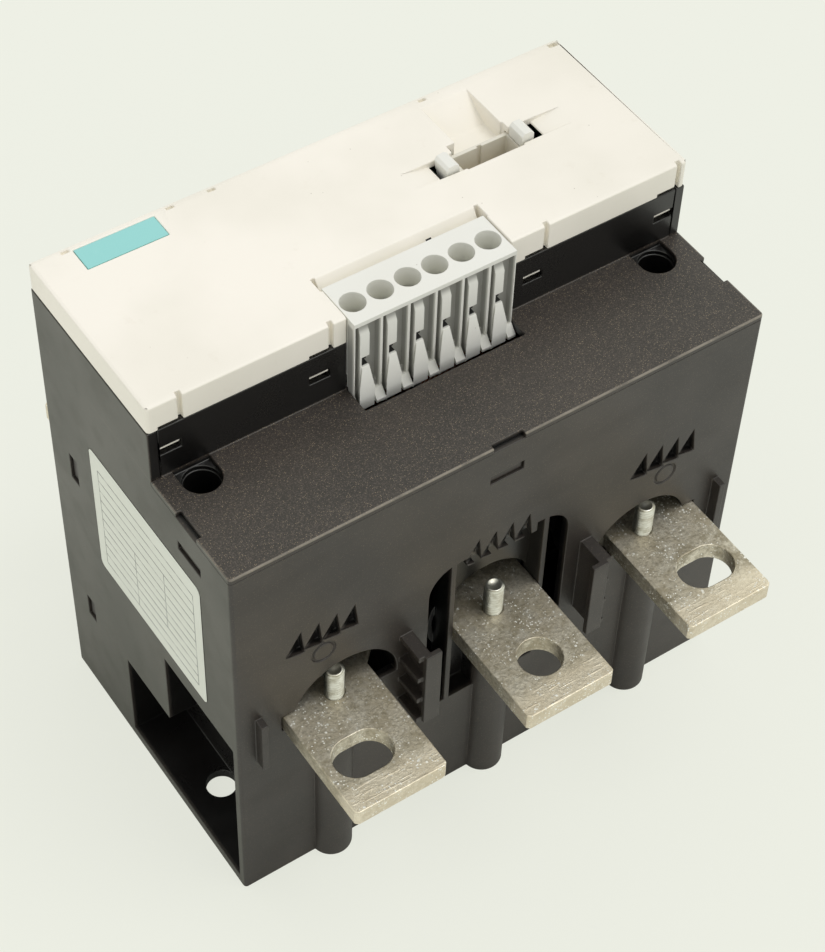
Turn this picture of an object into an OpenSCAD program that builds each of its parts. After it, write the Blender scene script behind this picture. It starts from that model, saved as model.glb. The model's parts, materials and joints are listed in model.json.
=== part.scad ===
// Three-pole current and voltage measuring module with straight-through busbars.
// Units are millimetres. +Z points out of the front cover, X runs across the poles and
// Y along the busbars. The origin is the middle of the base.

/* [Housing] */
// Width of the housing across the poles
body_w = 145; // [143:1:156]
// Depth of the housing along the busbars
body_d = 85; // [84:1:95]
// Height of the terrace in front of the riser
terrace_h = 125; // [118:1:135]
// Depth of the terrace, from the near face to the riser
terrace_d = 32.7; // [32:0.1:34]
// Rise from the terrace to the front cover
riser_h = 15; // [14:0.5:20]
// Height of the front cover
cover_h = 8; // [7.5:0.5:11]
// Wall thickness of the housing
wall = 2.5; // [2.2:0.1:2.8]
// Thickness of the floor
floor_t = 3; // [2.5:0.1:4]
// Radius of the housing's upright corners
corner_r = 1; // [0.5:0.1:1.8]
// Thickness of the terrace cover's rim
rim_t = 1.5; // [1.2:0.1:2]
// Clearance between pieces that snap or slide together
fit = 0.1; // [0.05:0.01:0.14]

/* [Busbars] */
// Width of a busbar
bar_w = 25; // [23:0.5:25.5]
// Thickness of a busbar
bar_t = 5; // [4:0.5:6]
// Height of the busbars' upper faces above the base
bar_top = 65; // [62:1:70]
// Length that a busbar stands out of each face
bar_reach = 31; // [28:1:40]
// Width left over beside the three pole bays at each side
side_margin = 0.95; // [0.6:0.05:2]
// Diameter of the terminal hole, and width of the outer slots
bar_hole_d = 11; // [9:0.5:12]
// Distance from a busbar's tip to its terminal hole
bar_hole_inset = 13; // [11:0.5:15]
// End-to-end length of the slots in the outer busbars
bar_slot_l = 15; // [13:0.5:16]
// Outward shift of the outer slots from the middle of their busbar
bar_slot_shift = 2.3; // [0:0.1:2.6]
// Corner cut at a busbar's tip
bar_tip_cut = 0.8; // [0.4:0.1:1.5]
// Diameter of the threaded studs
stud_d = 5; // [4:0.5:6]
// Height of a stud above its busbar
stud_h = 9; // [6:0.5:9.5]
// Distance of the outer studs from the middle of their busbar's end
stud_inset = 2.5; // [1.5:0.1:3]
// Shift of the stud row from the middle
stud_shift = -1; // [-1.5:0.1:1]

/* [Current transformers] */
// Distance from the tunnels' axes up to the busbars' upper faces
tunnel_drop = 4; // [3:0.1:4.5]
// Clearance between a busbar's corners and its tunnel sleeve
sleeve_clear = 0.38; // [0.2:0.01:0.5]
// Wall thickness of a tunnel sleeve
sleeve_t = 0.9; // [0.7:0.05:1]
// Thickness of the winding on the inner side of a core
winding_in = 1.1; // [0.8:0.1:1.2]
// Thickness of the winding on the outer side of a core
winding_out = 1.4; // [1:0.1:1.6]
// Room between the coils' far ends and the collars of the end panel
coil_end_room = 4.5; // [1:0.5:12]
// Room between the outer coils and the side walls
coil_side_room = 5.8; // [5.7:0.1:6.5]
// Gap between neighbouring coils
coil_gap = 0.6; // [0.3:0.1:1]
// Diameter of a transformer's connecting leads
lead_d = 1; // [0.8:0.1:1.2]

/* [Panel screws] */
// Radius of the screw wells in the terrace
well_r = 4.4; // [4.3:0.1:5.4]
// Radius of the screw shafts below the wells
shaft_r = 4.1; // [3.6:0.1:4.2]
// Wall thickness of the screw shafts
shaft_t = 0.9; // [0.8:0.1:1]
// Diameter of the screw holes in the floor
screw_hole_d = 8; // [6:0.5:9]
// Distance from the near face to the screw shafts
screw_y = 28; // [26.5:0.1:28]
// Depth of the side chambers behind the near face
chamber_d = 34; // [33.8:0.1:35]
// Depth of the side chambers' low part behind the near face
low_d = 55; // [48:1:58]
// Height of the side chambers' low part
low_h = 33; // [24:1:34]

/* [Pole faces] */
// Width of the window around the middle busbar
window_w = 40; // [38:1:42]
// Height of the window's sill
window_low = 36.5; // [30:0.5:40]
// Height of the window's head
window_high = 89.5; // [86:0.5:92]
// Radius of the window's upper corners
window_r = 8; // [5:0.5:9]
// Depth of the recessed panel in the window
panel_depth = 5; // [4:0.5:6]
// Thickness of the ribs and of the recessed panel
rib_t = 1.5; // [1.2:0.1:2]
// Distance that the barrier rails stand out
rail_reach = 9; // [7:0.5:10]
// Height of a barrier rail
rail_h = 26; // [20:1:30]
// Radius of the half-round pillars under the busbars
pillar_r = 5.4; // [4.5:0.1:6]
// Distance of the outer pillars from the middle of their busbar's end
pillar_inset = 1.2; // [0:0.1:3]
// Width of each slot between the window's side and the ribs beside the middle pole
window_slot = 6; // [5:0.1:7]

/* [Terminal plug] */
// Distance between neighbouring poles of the plug
pole_pitch = 7.25; // [7:0.05:7.5]
// Number of poles of the plug
clamp_n = 6; // [4:1:6]
// Diameter of the screwdriver wells
well_d = 6.1; // [5:0.1:6.2]
// Depth of the screwdriver wells
well_depth = 6.7; // [6:0.1:7]
// Diameter of the clamp screws' thread
clamp_d = 2.5; // [2:0.1:2.6]
// Thread pitch of the clamp screws
clamp_pitch = 0.45; // [0.4:0.01:0.5]
// Turns of a clamp screw from open to tight
clamp_turns = 4; // [2:0.5:4]
// Radial running clearance of threads and pivots
run = 0.05; // [0.02:0.01:0.08]

/* [Ribbon socket] */
// Distance of the ribbon socket from the middle of the housing
socket_x = 35.5; // [34:0.5:37]
// Distance from the far face to the ribbon socket
socket_back = 23.9; // [22.5:0.1:24.5]
// Opening angle of the ejector latches from the upright position
latch_swing = 11; // [9:1:13]
// Angle at which the left latch stands open
left_latch_open = 8; // [0:1:8]
// Depth of the cable trough behind the ribbon socket
trough_depth = 5.2; // [4:0.1:5.6]

/* [Markings] */
// Distance of the coloured plate from the left side
plate_side = 10.5; // [8:0.5:20]
// Distance of the coloured plate from the far edge
plate_back = 9.2; // [8.4:0.1:12]
// Length of the coloured plate
plate_l = 20.5; // [15:0.5:24]
// Width of the coloured plate
plate_w = 6.8; // [5:0.1:7]
// Length of the rating label on the left face
label_l = 50; // [40:1:52]
// Height of the rating label
label_h = 43.5; // [36:0.5:46]
// Distance of the rating label from the near face
label_near = 13.5; // [10:0.5:16]
// Height of the rating label's lower edge
label_low = 63.5; // [61:0.5:66]

/* [Hidden] */

black_plastic = [0.16, 0.155, 0.15];
cover_plastic = [0.93, 0.91, 0.86];
plug_plastic = [0.86, 0.87, 0.85];
tinned_copper = [0.72, 0.70, 0.67];
zinc = [0.70, 0.71, 0.72];
brass = [0.78, 0.66, 0.38];

round_fn = 96;
small_fn = 48;
past = 1;               // how far a cut runs past the face that it opens

near = -body_d / 2;
far = body_d / 2;
left = -body_w / 2;
inner_x = body_w / 2 - wall;
deck_h = terrace_h + riser_h;
top_h = deck_h + cover_h;
skin = 2;               // thickness of the front cover's top and skirt

bar_low = bar_top - bar_t;
tunnel_z = bar_top - tunnel_drop;
sleeve_in = sqrt(pow(bar_w / 2, 2) + pow(tunnel_drop, 2)) + sleeve_clear;
sleeve_out = sleeve_in + sleeve_t;
arch_r = sleeve_out + fit;
core_in = arch_r + winding_in;
coil_out = (inner_x - coil_side_room - coil_gap) / 3;
core_out = coil_out - winding_out;
inner_pitch = 2 * coil_out + coil_gap;
bar_pitch = (body_w - 2 * side_margin) / 3;
pillar_pitch = bar_pitch - pillar_inset;
slot_clear = 0.3;       // room around a busbar in its wall slot
jog_start = wall + 1;
jog_end = jog_start + bar_pitch - inner_pitch;
sleeve_start = jog_end + 1.3;
collar_end = sleeve_start + 4;
coil_start = chamber_d + wall + 2.5;
coil_l = body_d - coil_start - collar_end - coil_end_room;

shaft_out = shaft_r + shaft_t;
screw_x = inner_pitch + arch_r + shaft_out;
chamber_x = screw_x - shaft_r;
chamber_wall = 2;       // thickness of the side chambers' roofs and far walls
chamber_high = bar_low - chamber_wall;

board_t = 1.6;
board_low = terrace_h + 2;
board_top = board_low + board_t;
board_near = terrace_d + wall + 0.5;
board_far = body_d - wall - 0.8;

snap_w = 5.2;           // width of the front cover's snap arms
snap_h = 2.5;           // height of the snap windows
snap_z = deck_h - 8.3;  // lower edge of the snap windows
snap_x = [body_w / 2 - 5.5, pole_pitch * clamp_n / 2 + 7.25];
hook_x = 4.6;           // half width of the terrace cover's near hook
hook_z = terrace_h - 12.2;
hook_h = 2.8;
side_hook_y = 12.6;
side_hook_l = 9.6;
arm_t = 1.4;            // thickness of a snap arm
arm_windows = [[30.5, 7.5], [84.5, 8.5]];   // height above the base and length
arm_window_y = 10;      // distance from the far face
arm_window_w = 3.6;

rail_x = window_w / 2 + 2;
rail_top = bar_top + 8;
fin_n = 4;
fin_t = 1.6;

plug_w = pole_pitch * clamp_n;
plug_top = top_h - 0.5;
plug_back = 43.5;       // distances from the near face
plug_front = 30.1;
plug_foot = 28.1;
plug_low = terrace_h - 3.7;
pit_near = 24.9;        // near edge of the opening that the plug's foot stands in
plug_room = 0.3;        // room around the plug in its recess
recess_x = plug_w / 2 + plug_room;
recess_back = plug_back + 3;
screw_line = 36.4;
rib_w = 0.7;            // thickness of the plug's dividing ribs
channel_depth = 2.2;
plug_ledge = terrace_h + 0.4;   // the plug is thinner below this height, in front of the riser
foot_back = terrace_d - 1.2;    // back of the channels below that height
partition_t = 1;
well_floor = plug_top - well_depth;
clamp_travel = clamp_pitch * clamp_turns;
cage_l = 6;
cage_w = 5.2;
cage_h = 5.8;
cage_bar = 0.9;         // thickness of a cage's floor and of its threaded top
cage_room = 0.1;
cage_top = well_floor - partition_t - clamp_travel - 0.2;
cage_low = cage_top - cage_h;
cage_y = screw_line - cage_l / 2;
contact_t = 0.6;
contact_z = cage_top - cage_bar - contact_t - 0.3;
pin_d = 1;
pin_y = 41.1;
header_h = 3.4;
plug_step = 38.7;       // behind this distance the plug stands over the header

pin_pitch = 2.54;
shroud_l = 17.8;
shroud_w = 8.6;
shroud_top = top_h - skin - 0.2;
shroud_cavity = [15.4, 6.5, 9];
ear_t = 1.3;
ear_l = 4.1;
ear_h = 8;
pivot_x = 10.2;
pivot_z = board_top + 5;
pivot_r = 0.8;
latch_r = 1.15;
latch_w = 4.4;
latch_top = top_h + 2;
hook_over = 2.4;        // how far a latch's hook reaches in over the socket
latch_opening = pivot_x + latch_r + (top_h - pivot_z) * tan(latch_swing) + 0.4;
trough_w = 13;
trough_x = socket_x - 5.5;
socket_y = body_d - socket_back;
trough_far = body_d - 4;    // distances of the ramp's two ends from the near face
trough_foot = body_d - 12;

// An outline in X and Z, extruded along +Y from y0.
module upright(y0, depth) {
    translate([0, y0 + depth, 0]) rotate([90, 0, 0]) linear_extrude(depth) children();
}

// An outline in Y and Z, extruded along +X from x0.
module across(x0, width) {
    translate([x0, 0, 0]) rotate([90, 0, 90]) linear_extrude(width) children();
}

// A round bar along +Y from y0, on the axis (x, z).
module rod_y(x, z, y0, length, r, fn = round_fn) {
    translate([x, y0, z]) rotate([-90, 0, 0]) cylinder(h = length, r = r, $fn = fn);
}

// A box between two opposite corners.
module block(low, high) {
    translate(low) cube(high - low);
}

// A rectangle between two corners, with round corners.
module round_rect(low, high, r) {
    for (x = [low[0] + r, high[0] - r], y = [low[1] + r, high[1] - r])
        translate([x, y]) circle(r, $fn = small_fn);
    translate([low[0] + r, low[1]]) square([high[0] - low[0] - 2 * r, high[1] - low[1]]);
    translate([low[0], low[1] + r]) square([high[0] - low[0], high[1] - low[1] - 2 * r]);
}

// A slot along X with round ends, centred on the origin.
module slot(length, width) {
    square([length - width, width], center = true);
    for (side = [-1, 1])
        translate([side * (length - width) / 2, 0]) circle(d = width, $fn = round_fn);
}

// ---- Pole face: the near wall and the end panel share it, and the outer face is at near.

module outer_arch(side) {
    difference() {
        translate([side * inner_pitch, tunnel_z]) circle(arch_r, $fn = round_fn);
        translate([left, 0]) square([body_w, bar_low]);
    }
    translate([side * bar_pitch - bar_w / 2 - slot_clear, bar_low])
        square([bar_w + 2 * slot_clear, bar_t + slot_clear]);
}

module middle_window() {
    half = window_w / 2;
    head = window_high - 3;
    difference() {
        union() {
            translate([-half, window_low])
                square([window_w, window_high - window_low - window_r]);
            translate([window_r - half, window_low])
                square([window_w - 2 * window_r, window_high - window_low]);
            for (side = [-1, 1])
                translate([side * (half - window_r), window_high - window_r])
                    circle(window_r, $fn = round_fn);
        }
        translate([-9.5, head]) square([20, window_high - head + past]);
    }
}

// A row of four finger pockets above a busbar. Each one gets deeper towards its right edge.
module grip_pockets(x) {
    pocket_w = 4.4;
    pocket_h = 8;
    pocket_depth = 2;
    for (i = [-1.5 : 1.5])
        translate([x + i * 4.8, 0, window_high - 3.2]) intersection() {
            linear_extrude(pocket_h)
                polygon([[-pocket_w / 2, near + 0.1], [-pocket_w / 2, near - past],
                         [pocket_w / 2 + past, near - past], [pocket_w / 2 + past, near + pocket_depth],
                         [pocket_w / 2 - 0.8, near + pocket_depth]]);
            upright(near - past, past + pocket_depth)
                polygon([[-pocket_w / 2, 1.2], [pocket_w / 2 + 0.6, -0.3], [pocket_w / 2 - 0.4, pocket_h]]);
        }
}

module face_openings() {
    for (side = [-1, 1])
        upright(near - past, wall + 2 * past) outer_arch(side);
    upright(near - past, wall + 2 * past) middle_window();
    for (pole = [-1 : 1])
        grip_pockets(pole * (bar_pitch + 0.8) - 1.1);
    for (side = [-1, 1])
        upright(near - past, past + 0.5) translate([side * (bar_pitch + 1.3), window_high - 6.8]) difference() {
            circle(3.3, $fn = small_fn);
            circle(2.6, $fn = small_fn);
        }
}

// The panel behind the middle window, with the arch of the middle tunnel.
module recessed_panel() {
    panel_w = window_w / 2 - window_slot - rib_t / 2;
    upright(near + panel_depth, rib_t) difference() {
        translate([-panel_w, window_low - rib_t])
            square([2 * panel_w, window_high - window_low + 2 * rib_t]);
        difference() {
            translate([0, tunnel_z]) circle(arch_r - 0.6, $fn = round_fn);
            translate([-arch_r, 0]) square([2 * arch_r, bar_low]);
        }
    }
    for (side = [-1, 1])
        upright(near, panel_depth + rib_t)
            translate([side * panel_w - rib_t / 2, window_low - rib_t])
                square([rib_t, window_high - window_low + 2 * rib_t]);
    for (z = [window_low - rib_t, window_high])
        block([-panel_w, near + wall / 2, z], [panel_w, near + panel_depth + rib_t, z + rib_t]);
}

module barrier_rail() {
    web_x = rail_x + 2.5;
    fin_step = (rail_h - fin_t) / (fin_n - 1);
    block([web_x, near - rail_reach, rail_top - rail_h], [web_x + 1.2, near + wall / 2, rail_top]);
    block([rail_x, near - rail_reach, rail_top - rail_h], [web_x + 2, near - rail_reach + 1.5, rail_top]);
    for (i = [0 : fin_n - 1])
        block([web_x, near - rail_reach + 1, rail_top - rail_h + i * fin_step],
              [rail_x + 6, near + wall / 2, rail_top - rail_h + i * fin_step + fin_t]);
}

module edge_rib() {
    rib_x = body_w / 2 - 6.7;
    block([rib_x, near - 3, bar_top - 12], [rib_x + 1.8, near + wall / 2, bar_top + 5]);
}

// A half-round pillar that carries the busbar, back to the wall or the recessed panel.
module pillar(pole) {
    back = pole == 0 ? panel_depth + rib_t / 2 : wall;
    x = pole * pillar_pitch;
    translate([x, near + 1, 0]) cylinder(h = bar_low, r = pillar_r, $fn = round_fn);
    block([x - pillar_r, near + 1, 0], [x + pillar_r, near + back, bar_low]);
}

// The ring that holds the end of a tunnel sleeve.
module collar(pole) {
    x = pole * inner_pitch;
    start = pole == 0 ? panel_depth + rib_t / 2 : wall / 2;
    difference() {
        rod_y(x, tunnel_z, near + start, collar_end - start, arch_r + rib_t);
        rod_y(x, tunnel_z, near + start - past, collar_end + 2 * past, arch_r);
        block([pole * bar_pitch - bar_w / 2 - slot_clear, near, bar_low],
              [pole * bar_pitch + bar_w / 2 + slot_clear, near + sleeve_start, bar_top + slot_clear]);
    }
}

module face_additions() {
    recessed_panel();
    for (side = [0, 1])
        mirror([side, 0, 0]) {
            barrier_rail();
            edge_rib();
        }
    for (pole = [-1 : 1]) {
        pillar(pole);
        collar(pole);
    }
}

// ---- Housing

// The chamber around the foot of a panel screw, on the +X side. Its inner wall stays clear
// of the tunnel sleeve.
module chamber(x0, x1, grow, low) {
    block([x0, near + wall - grow, low], [x1, near + chamber_d + grow, chamber_high + grow]);
    block([x0, near + wall - grow, low], [x1, near + low_d + grow, low_h + grow]);
}

module board_ledges() {
    for (y = [board_near + 6, board_far - 10])
        block([inner_x - 3.5, near + y, board_low - 3], [inner_x + wall / 2, near + y + 7, board_low]);
}

module base_housing() {
    rim_z = terrace_h - rim_t;
    color(black_plastic) difference() {
        union() {
            difference() {
                linear_extrude(deck_h) round_rect([left, near], [-left, far], corner_r);
                block([left - past, near - past, rim_z], [past - left, near + terrace_d, deck_h + past]);
                block([-inner_x, near + wall, floor_t], [inner_x, far + past, deck_h + past]);
                face_openings();
            }
            face_additions();
            for (side = [0, 1])
                mirror([side, 0, 0]) {
                    chamber(chamber_x - shaft_t, body_w / 2 - wall / 2, chamber_wall, floor_t / 2);
                    translate([screw_x, near + screw_y, chamber_high])
                        cylinder(h = terrace_h - wall - fit - chamber_high, r = shaft_out, $fn = round_fn);
                    board_ledges();
                }
        }
        for (side = [0, 1])
            mirror([side, 0, 0]) {
                chamber(chamber_x, body_w / 2 + past, 0, floor_t);
                translate([screw_x, near + screw_y, floor_t])
                    cylinder(h = terrace_h, r = shaft_r, $fn = round_fn);
                translate([screw_x, near + screw_y, -past])
                    cylinder(h = floor_t + 2 * past, d = screw_hole_d, $fn = round_fn);
                for (window = arm_windows)
                    block([inner_x - past, far - arm_window_y - arm_window_w, window[0]],
                          [body_w / 2 + past, far - arm_window_y, window[0] + window[1]]);
                block([inner_x - past, near + side_hook_y, hook_z],
                      [body_w / 2 + past, near + side_hook_y + side_hook_l, hook_z + hook_h]);
            }
        block([-hook_x, near - past, hook_z], [hook_x, near + wall + past, hook_z + hook_h]);
        label_shape(0.2 + past, left - past);
    }
}

// The far wall, with arms that snap into the side walls.
module end_panel() {
    panel_x = inner_x - fit;
    color(black_plastic) difference() {
        union() {
            rotate([0, 0, 180]) {
                difference() {
                    block([-panel_x, near, floor_t], [panel_x, near + wall, deck_h]);
                    face_openings();
                }
                intersection() {
                    face_additions();
                    union() {
                        block([-panel_x, near, floor_t], [panel_x, near + collar_end, deck_h]);
                        block([left, near - rail_reach, 0], [-left, near, deck_h]);
                    }
                }
            }
            for (side = [0, 1], window = arm_windows)
                mirror([side, 0, 0]) {
                    hook_low = window[0] + fit;
                    hook_high = window[0] + window[1] - fit;
                    hook_far = far - arm_window_y - fit;
                    block([panel_x - arm_t, hook_far - arm_window_w + 2 * fit, hook_low],
                          [panel_x, far - wall / 2, hook_high]);
                    block([panel_x - arm_t, hook_far - arm_window_w + 2 * fit, hook_low],
                          [body_w / 2 - 0.7, hook_far, hook_high]);
                }
        }
        snap_windows(far - wall - past);
    }
}

// The windows that the front cover's snap arms hook into, cut through a wall from y0.
module snap_windows(y0) {
    for (side = [-1, 1], x = snap_x)
        block([side * x - snap_w / 2 - fit, y0, snap_z],
              [side * x + snap_w / 2 + fit, y0 + wall + 2 * past, snap_z + snap_h]);
}

module terrace_hooks() {
    arm_low = hook_z - 0.6;
    block([-hook_x + fit, near + wall + fit, arm_low],
          [hook_x - fit, near + wall + fit + arm_t, terrace_h - rim_t]);
    block([-hook_x + fit, near + 0.7, hook_z + fit],
          [hook_x - fit, near + wall + fit + arm_t, hook_z + hook_h - fit]);
    for (side = [0, 1])
        mirror([side, 0, 0]) {
            block([inner_x - fit - arm_t, near + side_hook_y + fit, arm_low],
                  [inner_x - fit, near + side_hook_y + side_hook_l - fit, terrace_h - rim_t]);
            block([inner_x - fit - arm_t, near + side_hook_y + fit, hook_z + fit],
                  [body_w / 2 - 0.7, near + side_hook_y + side_hook_l - fit, hook_z + hook_h - fit]);
        }
}

// The terrace with the riser behind it, and the pocket that the terminal plug stands in.
module terrace_cover() {
    plate_x = inner_x - fit;
    plate_low = terrace_h - wall;
    cheek = 1.4;
    notch = 1.5;
    well_step = 0.3;
    color(black_plastic) difference() {
        union() {
            translate([0, 0, terrace_h - rim_t]) linear_extrude(rim_t) difference() {
                round_rect([left, near], [-left, near + terrace_d + 5], corner_r);
                translate([left - past, near + terrace_d]) square([body_w + 2 * past, 9]);
            }
            block([-plate_x, near + wall + fit, plate_low],
                  [plate_x, near + terrace_d + wall, terrace_h - rim_t / 2]);
            block([-plate_x, near + terrace_d, plate_low], [plate_x, near + terrace_d + wall, deck_h]);
            block([-recess_x - cheek, near + terrace_d, board_top + 0.3],
                  [recess_x + cheek, near + plug_back + plug_room + cheek, deck_h]);
            terrace_hooks();
        }
        block([-recess_x, near + terrace_d - past, terrace_h + fit],
              [recess_x, near + plug_back + plug_room, deck_h + past]);
        block([-recess_x, near + terrace_d + wall - past, plate_low - past],
              [recess_x, near + plug_back + plug_room, deck_h]);
        snap_windows(near + terrace_d - past);
        block([-plug_w / 2 - 0.15, near + pit_near, plate_low - past],
              [plug_w / 2 + 0.15, near + terrace_d, terrace_h + past]);
        for (side = [0, 1])
            mirror([side, 0, 0]) {
                translate([screw_x, near + screw_y, plate_low - past])
                    cylinder(h = wall + 2 * past, r = well_r, $fn = round_fn);
                translate([screw_x, near + screw_y, terrace_h - rim_t])
                    cylinder(h = rim_t + past, r = well_r + well_step, $fn = round_fn);
                block([screw_x - well_r - well_step, near + screw_y, terrace_h - rim_t],
                      [screw_x + well_r + well_step, near + terrace_d, terrace_h + past]);
                block([body_w / 2 - notch, near + side_hook_y + 1, terrace_h - rim_t - past],
                      [body_w / 2 + past, near + side_hook_y + side_hook_l, terrace_h + past]);
            }
        block([-hook_x + 0.3, near - past, terrace_h - rim_t - past],
              [hook_x - 0.3, near + notch, terrace_h + past]);
    }
}

// ---- Front cover

cover_x = body_w / 2 - 0.2;
cover_near = terrace_d;
trough_end = socket_y + shroud_w / 2 + 0.3;
trough_z = top_h - trough_depth;

module cover_bevels() {
    bevel = 0.8;
    far_bevel = 1.6;
    for (side = [0, 1])
        mirror([side, 0, 0])
            upright(near, body_d + past)
                polygon([[cover_x - bevel, top_h + 0.01], [cover_x + past, top_h + 0.01],
                         [cover_x + past, top_h - bevel]]);
    across(-body_w, 2 * body_w)
        polygon([[near + cover_near - past, top_h - bevel], [near + cover_near - past, top_h + 0.01],
                 [near + cover_near + bevel, top_h + 0.01]]);
    across(-body_w, 2 * body_w)
        polygon([[far + past, top_h - far_bevel * 0.8], [far + past, top_h + 0.01],
                 [far - far_bevel, top_h + 0.01]]);
}

// The recess behind the terminal plug has a sloping back.
module plug_recess() {
    block([-recess_x, near + cover_near - past, deck_h - 3],
          [recess_x, near + plug_back + plug_room, top_h + past]);
    across(-recess_x, 2 * recess_x)
        polygon([[near + plug_back, top_h - 4], [near + plug_back + plug_room, top_h - 4],
                 [near + recess_back, top_h + 0.01], [near + plug_back, top_h + 0.01]]);
    for (end_x = [-recess_x - 0.5, recess_x - 0.7])
        block([end_x, near + plug_back - past, top_h - 4],
              [end_x + 1, near + recess_back + 0.4, top_h + past]);
}

// The trough that leads the ribbon cable from the socket out over the far edge.
module trough(grow) {
    across(trough_x - grow, trough_w + 2 * grow)
        polygon([[near + trough_far + grow, top_h + (grow > 0 ? -0.5 : 0.01)],
                 [near + trough_end, top_h + (grow > 0 ? -0.5 : 0.01)],
                 [near + trough_end, trough_z - grow], [near + trough_foot + grow / 2, trough_z - grow]]);
}

module socket_opening() {
    gap = 0.3;
    half_l = shroud_cavity[0] / 2 + gap;
    half_w = shroud_cavity[1] / 2 + gap;
    block([socket_x - half_l, near + socket_y - half_w, deck_h],
          [socket_x + half_l, near + trough_end + past, top_h + past]);
    block([socket_x - latch_opening, near + socket_y - latch_w / 2 - 3 * gap, deck_h],
          [socket_x + latch_opening, near + socket_y + latch_w / 2 + 3 * gap, top_h + past]);
}

// Sloping finger recesses beside the two latches.
module finger_recesses() {
    recess_l = 8;
    recess_h = 1.4;
    for (side = [0, 1])
        translate([socket_x, 0, 0]) mirror([side, 0, 0])
            upright(near + socket_y - latch_w / 2 - 0.9, latch_w + 1.8)
                polygon([[latch_opening - past, top_h - recess_h], [latch_opening, top_h - recess_h],
                         [latch_opening + recess_l, top_h + 0.01], [latch_opening - past, top_h + 0.01]]);
}

module cover_snap_arms(y_wall, side) {
    arm_y = y_wall + side * (wall + fit);
    for (x_side = [-1, 1], x = snap_x) {
        x0 = x_side * x - snap_w / 2;
        block([x0, min(arm_y, arm_y + side * arm_t), snap_z - 0.8],
              [x0 + snap_w, max(arm_y, arm_y + side * arm_t), top_h - skin / 2]);
        hook_y = y_wall + side * 0.5;
        block([x0, min(hook_y, arm_y + side * arm_t / 2), snap_z + snap_h - 1.2],
              [x0 + snap_w, max(hook_y, arm_y + side * arm_t / 2), snap_z + snap_h - fit]);
    }
}

module skirt_details() {
    for (x_side = [-1, 1], x = snap_x) {
        right_edge = x_side * x + snap_w / 2;
        block([right_edge - 0.2, near + cover_near - past, deck_h - past],
              [right_edge + 1, near + cover_near + 1.4, top_h + past]);
        block([right_edge - snap_w, near + cover_near - past, deck_h - past],
              [right_edge, near + cover_near + 1.2, deck_h + 0.9]);
    }
}

module edge_notches() {
    for (share = [-0.44, -0.255, -0.18, 0.22])
        block([share * body_w - 1, far - 2.2, top_h - 1.4], [share * body_w + 1, far - 1, top_h + past]);
    block([cover_x - 3.4, far - 2.6, top_h - 1.6], [cover_x - 0.8, far - 1, top_h + past]);
}

module front_cover() {
    lip_x = inner_x - fit;
    lip_t = 1.2;
    color(cover_plastic) difference() {
        union() {
            difference() {
                translate([0, 0, deck_h]) linear_extrude(cover_h)
                    round_rect([-cover_x, near + cover_near], [cover_x, far], corner_r);
                block([-cover_x + skin, near + cover_near + skin, deck_h - past],
                      [cover_x - skin, far - skin, top_h - skin]);
                cover_bevels();
            }
            for (side = [0, 1])
                mirror([side, 0, 0])
                    block([lip_x - lip_t, near + terrace_d + wall + fit, deck_h - 2],
                          [lip_x, far - wall - fit, top_h - skin / 2]);
            block([-lip_x, far - wall - fit - lip_t, deck_h - 2], [lip_x, far - wall - fit, top_h - skin / 2]);
            block([-recess_x - skin, near + cover_near + skin / 2, deck_h],
                  [recess_x + skin, near + recess_back + skin / 2, top_h - skin / 2]);
            cover_snap_arms(near + terrace_d, 1);
            cover_snap_arms(far, -1);
            trough(1.2);
        }
        plug_recess();
        trough(0);
        socket_opening();
        finger_recesses();
        skirt_details();
        edge_notches();
        plate_shape(fit, 1 + past, top_h - 1);
    }
}

module plate_shape(grow, height, z) {
    block([left + plate_side - grow, far - plate_back - grow, z],
          [left + plate_side + plate_l + grow, far - plate_back + plate_w + grow, z + height]);
}

module colour_plate() {
    color([0.60, 0.85, 0.83]) plate_shape(0, 1, top_h - 1);
}

module label_shape(depth, x0) {
    across(x0, depth)
        round_rect([near + label_near, label_low], [near + label_near + label_l, label_low + label_h], 2);
}

module side_label() {
    color([0.85, 0.86, 0.82]) label_shape(0.2, left);
}

// ---- Busbars and current transformers

// The near half of a busbar's outline: its ends lie further apart than its middle.
function bar_half(end_x, mid_x, half, tip) = [
    [mid_x - half, near + jog_end], [end_x - half, near + jog_start],
    [end_x - half, tip + bar_tip_cut], [end_x - half + bar_tip_cut, tip],
    [end_x + half - bar_tip_cut, tip], [end_x + half, tip + bar_tip_cut],
    [end_x + half, near + jog_start], [mid_x + half, near + jog_end]
];

module bar_outline(pole) {
    points = bar_half(pole * bar_pitch, pole * inner_pitch, bar_w / 2, near - bar_reach);
    last = len(points) - 1;
    polygon(concat(points, [for (i = [0 : last]) [points[last - i][0], -points[last - i][1]]]));
}

function stud_x(pole) = pole * (bar_pitch - stud_inset) + stud_shift;

module busbar(pole) {
    hole_y = near - bar_reach + bar_hole_inset;
    hole_x = pole * (bar_pitch + bar_slot_shift);
    hole_l = pole == 0 ? bar_hole_d : bar_slot_l;
    color(tinned_copper) translate([0, 0, bar_low]) linear_extrude(bar_t) difference() {
        bar_outline(pole);
        for (y = [hole_y, -hole_y])
            translate([hole_x, y]) bar_hole(hole_l);
        translate([stud_x(pole), near]) circle(d = stud_d, $fn = round_fn);
    }
}

module bar_hole(length) {
    if (length > bar_hole_d)
        slot(length, bar_hole_d);
    else
        circle(d = bar_hole_d, $fn = round_fn);
}

module busbar_studs() {
    dimple = 0.8;
    color(zinc) for (pole = [-1 : 1])
        translate([stud_x(pole), near, bar_low]) difference() {
            cylinder(h = bar_t + stud_h, d = stud_d, $fn = round_fn);
            translate([0, 0, bar_t + stud_h - dimple])
                cylinder(h = dimple + past, d = stud_d / 2, $fn = small_fn);
        }
}

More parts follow.
